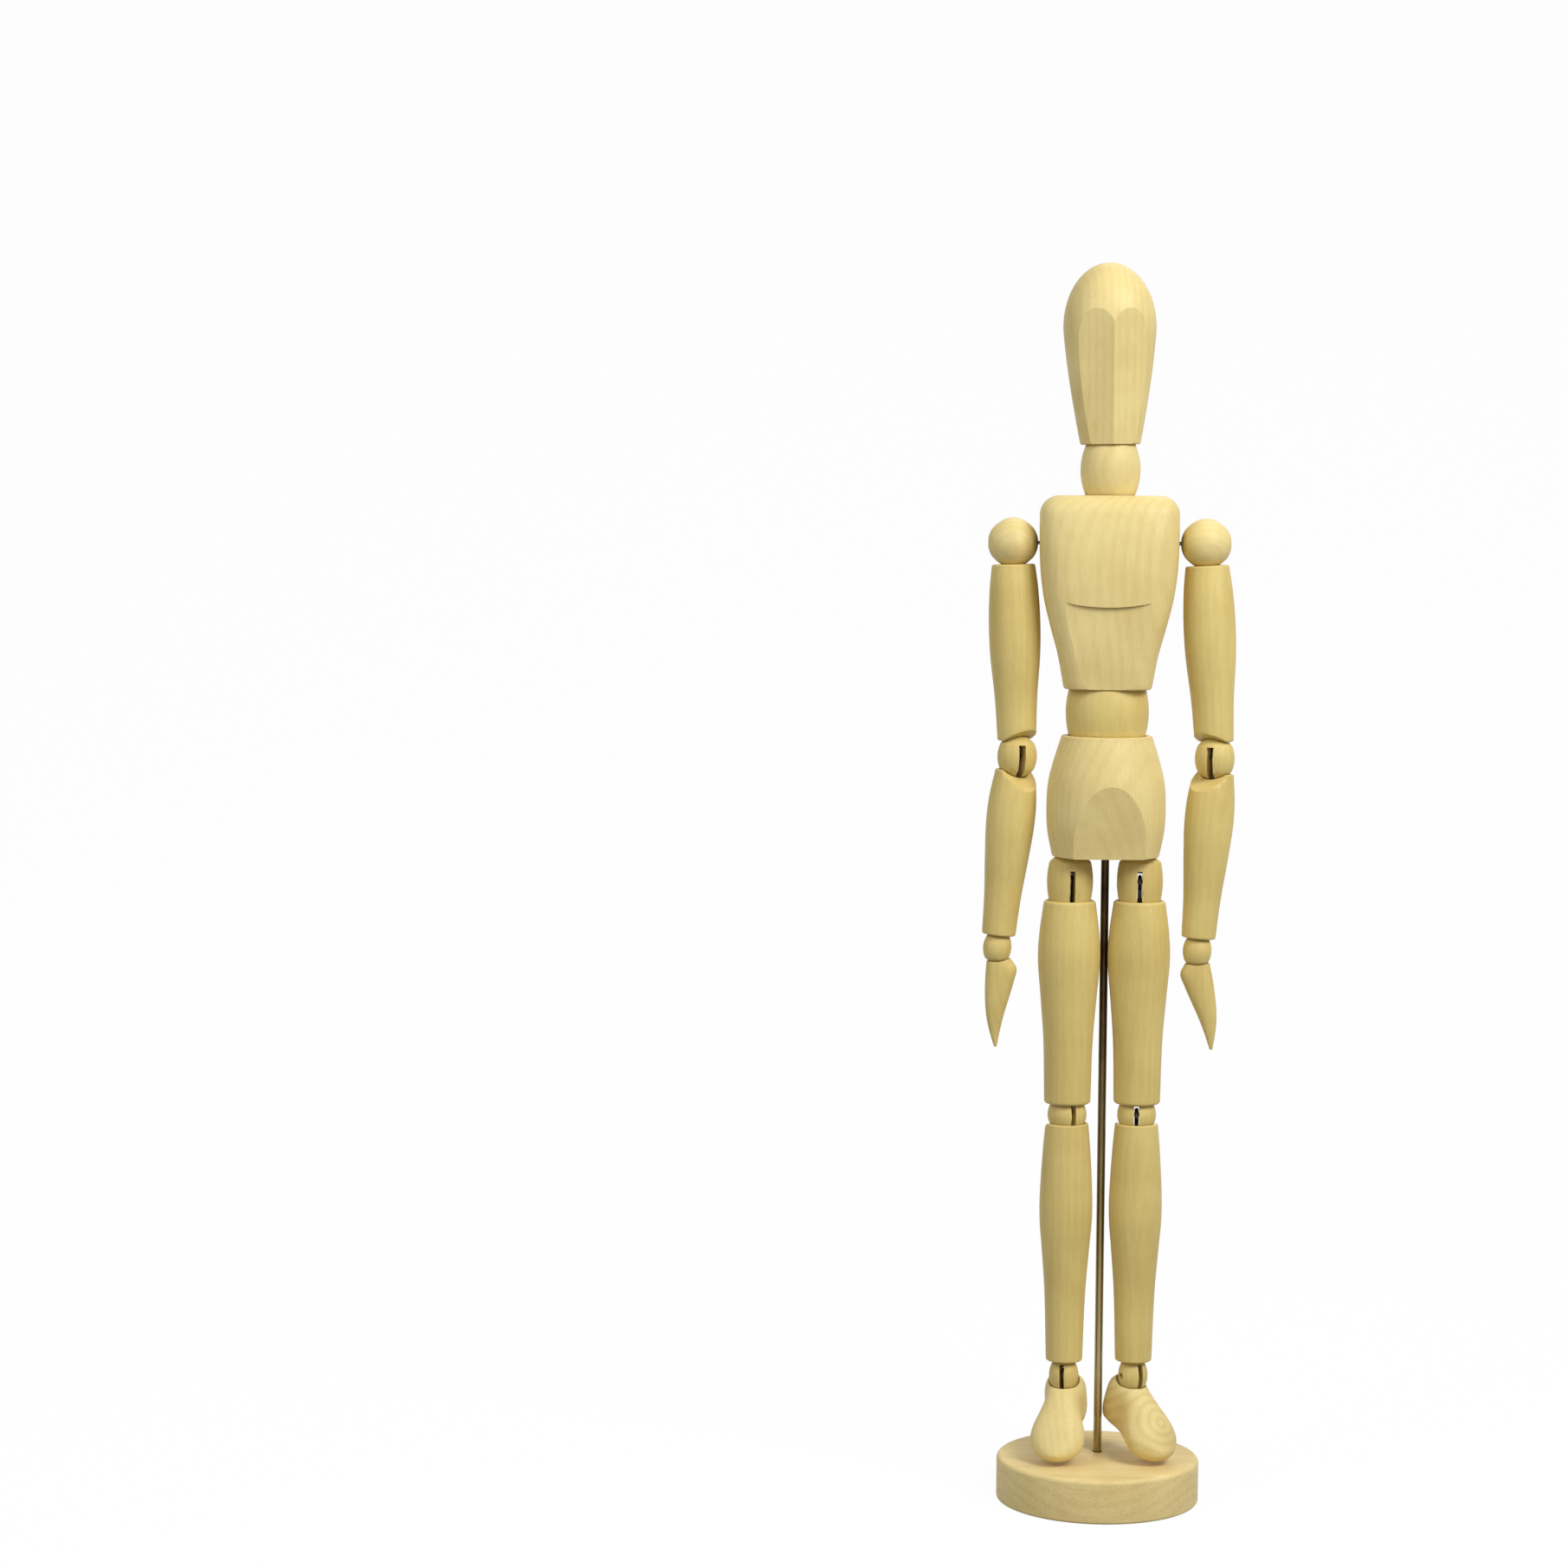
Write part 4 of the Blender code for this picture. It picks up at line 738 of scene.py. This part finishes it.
class MANNEQUIN_OT_pelvis(bpy.types.Operator):
    """Turn the pelvis, flatten its front and seat the waist, the hips and the rod"""

    bl_idname = "mannequin.pelvis"
    bl_label = "Pelvis"

    def execute(self, context):
        low, high = (Vector(corner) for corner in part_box("pelvis"))
        tall = high.z - low.z
        across = centre("leg_swing_left") - centre("leg_swing_right")
        place = square_to(Vector((0.0, 0.0, low.z)), Vector((0.0, 0.0, 1.0)), across)
        width, top, bottom = 29.2, 22.4, 26.4
        girth = (
            (0.0, top), (0.16, 0.57 * top + 0.43 * width), (0.37, 0.973 * width), (0.6, width),
            (0.8, 0.98 * width), (1.0, bottom),
        )
        radii = [(share, wide * MM / 2.0) for share, wide in girth]
        outline = turned_side(radii, tall, 0.0, RIM, 30) + [(0.0, 0.0)]
        outline += self.waist_seat(centre("waist_turn").z - low.z, tall)
        # The front flat: how high it starts, how deep it lies there and how far it leans in at the foot
        flat_top, flat_depth, flat_lean = 17.3, 0.5, 4.4
        slope = turned(math.atan2(flat_lean, flat_top), "X")
        flat = moved(0.0, (flat_depth - width / 2.0) * MM, flat_top * MM) @ slope
        cuts = [block((CUTTER, CUTTER, 2.0 * CUTTER), flat @ moved(0.0, -CUTTER / 2.0, 0.0))]
        rod = place.inverted() @ Vector((*centre("rod_turn").xy, low.z))
        well = 14.3 * MM
        cuts.append(bar(ROD_HOLE, 2.0 * well, Matrix.Translation(rod)))
        for side in SIDES:
            hip = place.inverted() @ centre("leg_swing_" + side)
            cuts.append(ball(reach("hip") + GAP, Matrix.Translation(hip)))
        carve(
            "pelvis", lathe(outline, TRUNK_STEPS), cuts, place, "pelvis", "limewood_turned",
            sanded=0.35 * MM, crease=14.0,
        )
        return {"FINISHED"}

    def waist_seat(self, level, tall):
        """Points of the spring's tail hole and bore and of the cup of the waist, from the bottom up."""
        bore, _, tail, floor, tail_end = spring_hole("waist")
        seat = reach("waist") + GAP
        points = [(0.0, level - tail_end), (tail, level - tail_end)]
        points += [(tail, level - floor), (bore, level - floor)]
        return points + arc(seat, -math.acos(bore / seat), -math.asin((level - tall) / seat), 12, level)


class MANNEQUIN_OT_trunk_barrels(bpy.types.Operator):
    """Turn the barrels of the waist and the neck"""

    bl_idname = "mannequin.trunk_barrels"
    bl_label = "Waist and neck"

    def execute(self, context):
        for name, finish in (("waist", "limewood_limb_shaded"), ("neck", "limewood_turned")):
            bore, mouth = spring_hole(name)[:2]
            outline = barrel_outline(name, mouth, mouth) + [(bore, 0.0)]
            place = Matrix.Translation(centre(name + "_turn"))
            carve(name, lathe(outline, TRUNK_STEPS), [], place, name, finish)
        return {"FINISHED"}


def chest_section(drop):
    """Half width and half depth of the chest, this far under its top."""
    share = drop / CHEST_TALL
    width = (
        (0.0, 1.0), (0.21, 1.0), (0.375, 0.985), (0.53, 0.93), (0.685, 0.827), (0.82, 0.725), (1.0, 0.63),
    )
    depth = ((0.0, 0.80), (0.2, 0.95), (0.4, 1.0), (0.6, 0.98), (0.8, 0.9), (1.0, 0.8))
    half_width = CHEST_WIDE * smooth(width, share)
    # A further taper of a few hundredths towards the waist
    half_depth = CHEST_DEEP * smooth(depth, share) * (1.0 - 0.0234 * share)
    if drop < CHEST_CORNER:
        inset = CHEST_CORNER - math.sqrt(CHEST_CORNER ** 2 - (CHEST_CORNER - drop) ** 2)
        half_width -= inset
        half_depth -= 0.7 * inset
    return half_width * MM, half_depth * MM


class MANNEQUIN_OT_chest(bpy.types.Operator):
    """Shape the chest, step it back under the breast and seat the waist and the neck"""

    bl_idname = "mannequin.chest"
    bl_label = "Chest"

    def execute(self, context):
        waist = centre("waist_bend")
        top = Vector(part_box("chest")[1]).z - waist.z
        # Rings round the top's corner, down the sides and round the lower rim, which is drawn in by the trims
        sides, squareness = 41.9, 3.7
        trims = {46.85: 0.05 * MM, 47.0: 0.2 * MM, CHEST_TALL: 0.5 * MM}
        drops = [CHEST_CORNER * (1.0 - math.cos(math.radians(a))) for a in range(0, 91, 6)]
        drops += [CHEST_CORNER + sides * i / 36.0 for i in range(1, 37)] + list(trims)
        rings = []
        for drop in drops:
            half_width, half_depth = chest_section(drop)
            trim = trims.get(drop, 0.0)
            points = oval(half_width - trim, half_depth - trim, squareness, TRUNK_STEPS)
            rings.append([(x, y, top - drop * MM) for x, y in points])
        nape = moved(0.0, 0.0, centre("neck_turn").z - waist.z)
        shoulders = moved(0.0, 0.0, centre("arm_swing_right").z - waist.z)
        cross_bore, cross_length = 6.6 * MM, 80.0 * MM
        cuts = [self.breast(top), ball(reach("waist") + GAP, Matrix()), ball(reach("neck") + GAP, nape)]
        cuts += spring_drills("waist", Matrix()) + spring_drills("neck", nape)
        cuts.append(bar(cross_bore, cross_length, shoulders @ turned(math.pi / 2.0, "Y")))
        carve(
            "chest", loft(rings), cuts, Matrix.Translation(waist), "chest", "limewood_turned",
            sanded=0.4 * MM, crease=16.0,
        )
        return {"FINISHED"}

    def breast(self, top):
        """A block that steps the front back under a line that sags in the middle."""
        half, front, bottom = 25.5 * MM, -25.6 * MM, -24.0 * MM
        line = top - BREAST_DROP * MM
        # The line lies this much higher at this distance from the middle
        rise, aside = 2.0 * MM, 14.62 * MM
        points = []
        for i in range(33):
            x = half * (i / 16.0 - 1.0)
            points.append((x, line + rise * (x / aside) ** 2))
        points += [(half, bottom), (-half, bottom)]
        shape = loft([[(x, y, z) for x, z in points] for y in (front, 0.0)])
        # The step is this deep at the line, and the flat under it leans back this far with the chest's taper
        step, taper = 1.2, 1.8
        back = turned(math.atan2(taper, CHEST_TALL - BREAST_DROP), "X")
        lean = moved(0.0, (step - CHEST_DEEP) * MM, line) @ back
        bmesh.ops.transform(shape, matrix=lean @ moved(0.0, 0.0, -line), verts=shape.verts)
        return shape


class MANNEQUIN_OT_head(bpy.types.Operator):
    """Turn the head and cut the two flats of the face"""

    bl_idname = "mannequin.head"
    bl_label = "Head"

    def execute(self, context):
        nod = axis("head_nod")
        place = square_to(centre("head_nod"), nod.cross(axis("head_tilt")), nod)
        jaw, crown, dome = 6.2 * MM, 50.2 * MM, 15.6 * MM
        wide, narrow = 11.3 * MM, 7.4 * MM
        brow = crown - dome
        outline = [(0.0, crown)]
        for i in range(1, 25):
            turn = math.pi / 2.0 * (1.0 - i / 24.0)
            outline.append((wide * math.cos(turn), brow + dome * math.sin(turn)))
        for i in range(1, 20):
            share = i / 20.0
            outline.append((wide + (narrow - wide) * share ** 1.35, brow + (jaw + RIM - brow) * share))
        outline += rounded(narrow, jaw, -1.0, RIM)
        bore, _, tail, floor, tail_end = spring_hole("neck")
        outline += cup("neck", jaw, 1.0, bore)
        outline += [(bore, floor), (tail, floor), (tail, tail_end), (0.0, tail_end)]
        # Each flat of the face is turned to its side, lies this deep at the brow and leans back to the chin
        aside, depth, taper = math.radians(22.0), 0.95 * MM, math.radians(7.4)
        cuts = []
        for sign in SIDES.values():
            turn = turned(sign * aside, "Z")
            flat = turn @ moved(0.0, depth - wide, brow) @ turned(taper, "X")
            place_cut = flat @ moved(0.0, -CUTTER / 2.0, 0.0)
            cuts.append(block((2.0 * CUTTER, CUTTER, 2.0 * CUTTER), place_cut))
        carve(
            "head", lathe(outline, TRUNK_STEPS), cuts, place, "head", "limewood_turned",
            sanded=0.2 * MM, crease=14.0,
        )
        return {"FINISHED"}


class MANNEQUIN_OT_limb_barrels(bpy.types.Operator):
    """Turn and slot the barrels of the shoulders, elbows, wrists, hips, knees and ankles"""

    bl_idname = "mannequin.limb_barrels"
    bl_label = "Limb barrels"

    def execute(self, context):
        sizes = context.scene.mannequin_sizes
        # The wire runs through a hole at one end and its head, twice as wide, turns in a well behind it
        hole, well = sizes.wire / 2.0 + BARREL_ROOM, sizes.wire + HEAD_ROOM
        # What is left of the barrel behind a pin hole, which doesn't go right through
        pin_wall = 1.2 * MM
        for kind in ("shoulder", "elbow", "wrist", "hip", "knee", "ankle"):
            half = barrel(kind)[0]
            tall = 4.0 * half
            # Barrels below the shoulders take the limb wood, whose darker ground is partly painted shade
            finish = "limewood_turned" if kind == "shoulder" else "limewood_limb_shaded"
            width = sizes.elbow_slot if kind == "elbow" else sizes.slot_width
            rise = sizes.slot_rise
            slot = moved(0.0, 0.0, rise - tall / 2.0)
            for side, sign in SIDES.items():
                outline = barrel_outline(kind, hole, well) + [(well, rise), (hole, rise)]
                drilled = 1.0 if kind in ("shoulder", "wrist") else -sign
                pin = moved(drilled * (pin_wall - half + tall / 2.0), 0.0, 0.0)
                cuts = [
                    block((width, tall, tall), slot),
                    bar(PIN_HOLE, tall, pin @ turned(math.pi / 2.0, "Y")),
                ]
                carve(
                    f"{kind}_ball_{side}", lathe(outline, BARREL_STEPS), cuts, barrel_place(kind, side),
                    f"{kind}_{side}", finish, sanded=0.08 * MM,
                )
        return {"FINISHED"}


class MANNEQUIN_OT_arms(bpy.types.Operator):
    """Turn the upper arms and forearms and cut their elbow ends back"""

    bl_idname = "mannequin.arms"
    bl_label = "Arms"

    def execute(self, context):
        sizes = context.scene.mannequin_sizes
        for side, sign in SIDES.items():
            heading = -sign * math.radians(45.0)
            turned_limb("upper_arm", side, [(sizes.elbow_cut, heading, -1.0)])
            turned_limb("forearm", side, [(sizes.forearm_cut, heading, 1.0)])
        return {"FINISHED"}


class MANNEQUIN_OT_legs(bpy.types.Operator):
    """Turn the thighs and calves and cut their ends back behind the knee"""

    bl_idname = "mannequin.legs"
    bl_label = "Legs"

    def execute(self, context):
        cut = context.scene.mannequin_sizes.knee_cut
        for side in SIDES:
            turned_limb("thigh", side, [(cut, math.pi, -1.0)])
            turned_limb("calf", side, [(cut, math.pi, 1.0)])
        return {"FINISHED"}


class MANNEQUIN_OT_hands(bpy.types.Operator):
    """Shape the leaf-like hands"""

    bl_idname = "mannequin.hands"
    bl_label = "Hands"

    def execute(self, context):
        lean = {"right": math.radians(-12.4), "left": math.radians(-5.5)}
        outer = ((0.0, 0.38), (0.2, 0.48), (0.44, 0.56), (0.63, 0.58), (0.81, 0.54), (1.0, 0.45))
        inner = (
            (0.0, 0.37), (0.12, 0.52), (0.26, 0.40), (0.44, 0.20), (0.63, -0.02), (0.81, -0.20), (1.0, -0.36),
        )
        thick = ((0.0, 0.95), (0.15, 1.0), (0.5, 0.85), (0.8, 0.5), (1.0, 0.22))
        wide, deep, top, tip, hole_end = 8.0 * MM, 5.3 * MM, 3.1 * MM, 24.4 * MM, 10.3 * MM
        squareness, steps = 2.3, 48
        for side, sign in SIDES.items():
            wrist = barrel_place("wrist", side) @ turned(-math.pi / 2.0, "Z")
            place = wrist @ turned(lean[side], "Y")
            rings = []
            for i in range(33):
                share = i / 32.0
                out, into = smooth(outer, share) * wide, smooth(inner, share) * wide
                middle, half = sign * (out - into) / 2.0, (out + into) / 2.0
                points = oval(half, smooth(thick, share) * deep / 2.0, squareness, steps)
                rings.append([(middle + x, y, -top - (tip - top) * share) for x, y in points])
            cuts = [ball(reach("wrist") + GAP, Matrix()), bar(WIRE_HOLE, 2.0 * hole_end, Matrix())]
            name = "hand_" + side
            carve(name, loft(rings), cuts, place, name, "limewood_limb_shaded", sanded=0.2 * MM)
        return {"FINISHED"}


class MANNEQUIN_OT_feet(bpy.types.Operator):
    """Shape the feet, flatten their soles and seat the ankles"""

    bl_idname = "mannequin.feet"
    bl_label = "Feet"

    def execute(self, context):
        width = (
            (0.0, 0.66), (0.12, 0.72), (0.24, 0.74), (0.38, 0.66), (0.52, 0.80),
            (0.66, 0.97), (0.76, 1.0), (0.88, 0.94), (1.0, 0.80),
        )
        top = (
            (0.0, -0.20), (0.12, -0.10), (0.25, -0.08), (0.42, -0.12), (0.62, -0.27), (0.82, -0.47),
            (1.0, -0.66),
        )
        squareness = ((0.0, 3.6), (0.3, 3.2), (0.5, 2.2), (1.0, 2.0))
        sole, long, heel, wide, hole_end = 13.2 * MM, 25.8 * MM, 6.0 * MM, 13.4 * MM, 9.3 * MM
        # Width of each heel against the table, how far the toes drop, and points round a section
        heel_share = {"right": 1.06, "left": 0.88}
        toe_drop, steps = math.radians(22.4), 64
        for side in SIDES:
            place = barrel_place("ankle", side) @ turned(toe_drop, "X")
            rings = []
            for i in range(57):
                share = (1.0 - math.cos(math.pi * i / 56.0)) / 2.0
                close = self.closing(share)
                narrow = heel_share[side] + (1.0 - heel_share[side]) * min(1.0, share / 0.5)
                half = smooth(width, share) * wide / 2.0 * narrow * close
                # The ends close towards a level between the crest and a floor just under the sole
                level = -(0.5 + 0.3 * share) * sole
                crest = level + (smooth(top, share) * sole - level) * close
                below = level + (-1.12 * sole - level) * close
                points = oval(half, (crest - below) / 2.0, smooth(squareness, share), steps)
                rings.append([(x, heel - long * share, (crest + below) / 2.0 + z) for x, z in points])
            cuts = [
                block((CUTTER, CUTTER, CUTTER), moved(0.0, 0.0, -sole - CUTTER / 2.0)),
                ball(reach("ankle") + GAP, Matrix()), bar(WIRE_HOLE, 2.0 * hole_end, Matrix()),
            ]
            name = "foot_" + side
            carve(name, loft(rings), cuts, place, name, sanded=0.3 * MM, **self.blank(side))
        return {"FINISHED"}

    def closing(self, share):
        """How far the section has opened from the heel's end or the toe's, both of which are round."""
        heel_round, toe_round = 0.16, 0.26
        heel_end, toe_end = (heel_round - share) / heel_round, (share - 1.0 + toe_round) / toe_round
        return math.sqrt(max(0.001, 1.0 - max(0.0, heel_end, toe_end) ** 2))

    def blank(self, side):
        """The right foot is cut along the grain, the left one across it so that rings close on the toe."""
        if side == "right":
            return {"finish": "limewood_turned", "stock": turned(math.pi / 2.0, "X")}
        grain, ring_centre = Vector((0.2, -0.6, 0.76)), Vector((1.5, -13.0, -6.0))
        stock = grain.rotation_difference(Vector((0.0, 0.0, 1.0))).to_matrix().to_4x4()
        return {"finish": "limewood_across", "stock": stock, "heart": -(stock @ ring_centre)}


class MANNEQUIN_OT_wire_work(bpy.types.Operator):
    """Give the pins, wires, studs and springs their steel"""

    bl_idname = "mannequin.wire_work"
    bl_label = "Wire work"

    def execute(self, context):
        for part in frame["record"]["subparts"]:
            if part["material_slot"] != "steel_wire":
                continue
            piece = frame["nodes"][part["node"]]
            for slot in piece.material_slots:
                slot.material = finish_of("steel_wire_drawn")
        return {"FINISHED"}


class MANNEQUIN_OT_trunk_springs(bpy.types.Operator):
    """Part the springs at the domed ends of the waist and the neck, so that each tail keeps to its wood"""

    bl_idname = "mannequin.trunk_springs"
    bl_label = "Trunk springs"

    def execute(self, context):
        # Barrel of a spring, and the bodies that carry its lower tail, its coil and its upper tail
        springs = {
            "spine_spring": ("waist", "pelvis", "spine", "chest"),
            "neck_spring": ("neck", "chest", "neck_core", "head"),
        }
        # The cut lies in the gap between a domed end and its cup, this far from the end
        cut_from, cut_to = 0.05 * MM, 0.25 * MM
        for node, (name, below, inside, above) in springs.items():
            middle = Matrix.Translation(centre(name + "_turn"))
            self.part(node, "coil", [ball(reach(name) + cut_from, middle)], "INTERSECT", inside)
            for end, sign, body in (("low_tail", 1.0, below), ("high_tail", -1.0, above)):
                other_half = block((CUTTER, CUTTER, CUTTER), middle @ moved(0.0, 0.0, sign * CUTTER / 2.0))
                self.part(node, end, [ball(reach(name) + cut_to, middle), other_half], "DIFFERENCE", body)
        return {"FINISHED"}

    def part(self, node, name, cuts, operation, body):
        """One part of a spring, which rides on a body of its own."""
        piece = add_object(f"{node}_{name}", frame["nodes"][node].data.copy())
        settle(piece, add_knives(piece, cuts, operation), "steel_wire_drawn", 40.0)
        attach(piece, body)
        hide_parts(node)


class MANNEQUIN_OT_stage(bpy.types.Operator):
    """Set up the floor, the light and the camera"""

    bl_idname = "mannequin.stage"
    bl_label = "Studio"

    def execute(self, context):
        studio = context.scene.mannequin_studio
        self.floor(context.scene.mannequin_colours, studio.paper_white)
        self.lamp("key_lamp", (0.42, -0.46, 0.66), 0.36, studio.key)
        self.lamp("fill_lamp", (-0.55, -0.50, 0.65), 0.5, studio.fill)
        self.lamp("back_lamp", (0.10, 0.46, 0.80), 0.5, studio.back)
        self.sky(studio.sky)
        self.camera(studio)
        context.scene.view_settings.view_transform = "Standard"
        return {"FINISHED"}

    def floor(self, look, white):
        """A sheet of paper that rises behind the figure in a curve."""
        front, back, bend, top, half = -1.6, 0.5, 0.5, 2.2, 2.2
        points = [(front, 0.0), (back, 0.0)]
        for degrees in range(6, 91, 6):
            turn = math.radians(degrees)
            points.append((back + bend * math.sin(turn), bend - bend * math.cos(turn)))
        points.append((back + bend, top))
        shape = bmesh.new()
        rows = [[shape.verts.new((x, y, z)) for x in (-half, half)] for y, z in points]
        for row, after in zip(rows, rows[1:]):
            shape.faces.new((row[0], row[1], after[1], after[0]))
        mesh = bpy.data.meshes.new("paper_sweep")
        shape.to_mesh(mesh)
        shape.free()
        mesh.shade_smooth()
        paper = seamless_paper("seamless_paper", linear(look.paper), linear(look.bounce), white)
        mesh.materials.append(paper)
        add_object("paper_sweep", mesh)

    def lamp(self, name, place, size, power):
        """A square soft lamp aimed at the middle of the figure."""
        light = bpy.data.lights.new(name, "AREA")
        light.size = size
        light.energy = power
        lamp = add_object(name, light)
        lamp.location = place
        aim = Vector((0.0, 0.0, 0.16))
        lamp.rotation_euler = (aim - Vector(place)).to_track_quat("-Z", "Y").to_euler()

    def sky(self, strength):
        """Even light from all round, white where the camera sees it."""
        world = bpy.data.worlds.new("studio_sky")
        bpy.context.scene.world = world
        world.use_nodes = True
        tree = world.node_tree
        tree.nodes.clear()
        ray = add_node(tree, "ShaderNodeLightPath").outputs
        seen = combine(tree, "MAXIMUM", ray["Is Camera Ray"], ray["Is Transmission Ray"])
        level = remap(tree, seen, (0.0, 1.0), (strength, 1.0))
        glow = add_node(tree, "ShaderNodeBackground", {"Color": (1.0, 1.0, 1.0, 1.0)}, {"Strength": level})
        add_node(tree, "ShaderNodeOutputWorld", None, {"Surface": glow.outputs[0]})

    def camera(self, studio):
        """The camera at the height of the chest, turned a little to the left of the figure."""
        lens = bpy.data.cameras.new("studio_camera")
        lens.lens = studio.lens
        lens.sensor_width = 36.0
        lens.clip_end = 20.0
        level = math.cos(studio.pitch)
        ahead = Vector((math.sin(studio.yaw) * level, math.cos(studio.yaw) * level, -math.sin(studio.pitch)))
        right = Vector((math.cos(studio.yaw), -math.sin(studio.yaw), 0.0))
        up = right.cross(ahead)
        leaned = math.cos(studio.roll) * right + math.sin(studio.roll) * up
        turn = Matrix((leaned, leaned.cross(ahead), -ahead)).transposed().to_4x4()
        camera = add_object("studio_camera", lens)
        camera.matrix_world = Matrix.Translation(studio.camera_place) @ turn
        bpy.context.scene.camera = camera


class MANNEQUIN_PT_panel(bpy.types.Panel):
    """Lists the pieces and their settings"""

    bl_idname = "MANNEQUIN_PT_panel"
    bl_label = "Drawing mannequin"
    bl_space_type = "VIEW_3D"
    bl_region_type = "UI"
    bl_category = "Mannequin"

    def draw(self, context):
        for operator in OPERATORS:
            self.layout.operator(operator.bl_idname)
        for group_name in GROUPS:
            group = getattr(context.scene, group_name)
            box = self.layout.box()
            for name in group.bl_rna.properties.keys():
                if name not in ("rna_type", "name"):
                    box.prop(group, name)


OPERATORS = (
    MANNEQUIN_OT_disc, MANNEQUIN_OT_rod, MANNEQUIN_OT_pelvis, MANNEQUIN_OT_trunk_barrels, MANNEQUIN_OT_chest,
    MANNEQUIN_OT_head, MANNEQUIN_OT_limb_barrels, MANNEQUIN_OT_arms, MANNEQUIN_OT_legs, MANNEQUIN_OT_hands,
    MANNEQUIN_OT_feet, MANNEQUIN_OT_wire_work, MANNEQUIN_OT_trunk_springs, MANNEQUIN_OT_stage,
)
GROUPS = {
    "mannequin_sizes": MannequinSizes, "mannequin_colours": MannequinColours,
    "mannequin_studio": StudioSettings,
}


def register():
    """Register the classes and hang the settings on the scene."""
    for name, group in GROUPS.items():
        bpy.utils.register_class(group)
        setattr(bpy.types.Scene, name, PointerProperty(type=group))
    for made in OPERATORS + (MANNEQUIN_PT_panel,):
        bpy.utils.register_class(made)


def unregister():
    """Take the classes and the settings away again."""
    for made in reversed(OPERATORS + (MANNEQUIN_PT_panel,)):
        bpy.utils.unregister_class(made)
    for name, group in reversed(GROUPS.items()):
        delattr(bpy.types.Scene, name)
        bpy.utils.unregister_class(group)


def main():
    """Build every piece and the studio."""
    register()
    for operator in OPERATORS:
        getattr(bpy.ops.mannequin, operator.bl_idname.split(".")[1])()
    bpy.context.view_layer.update()


if __name__ == "__main__":
    main()
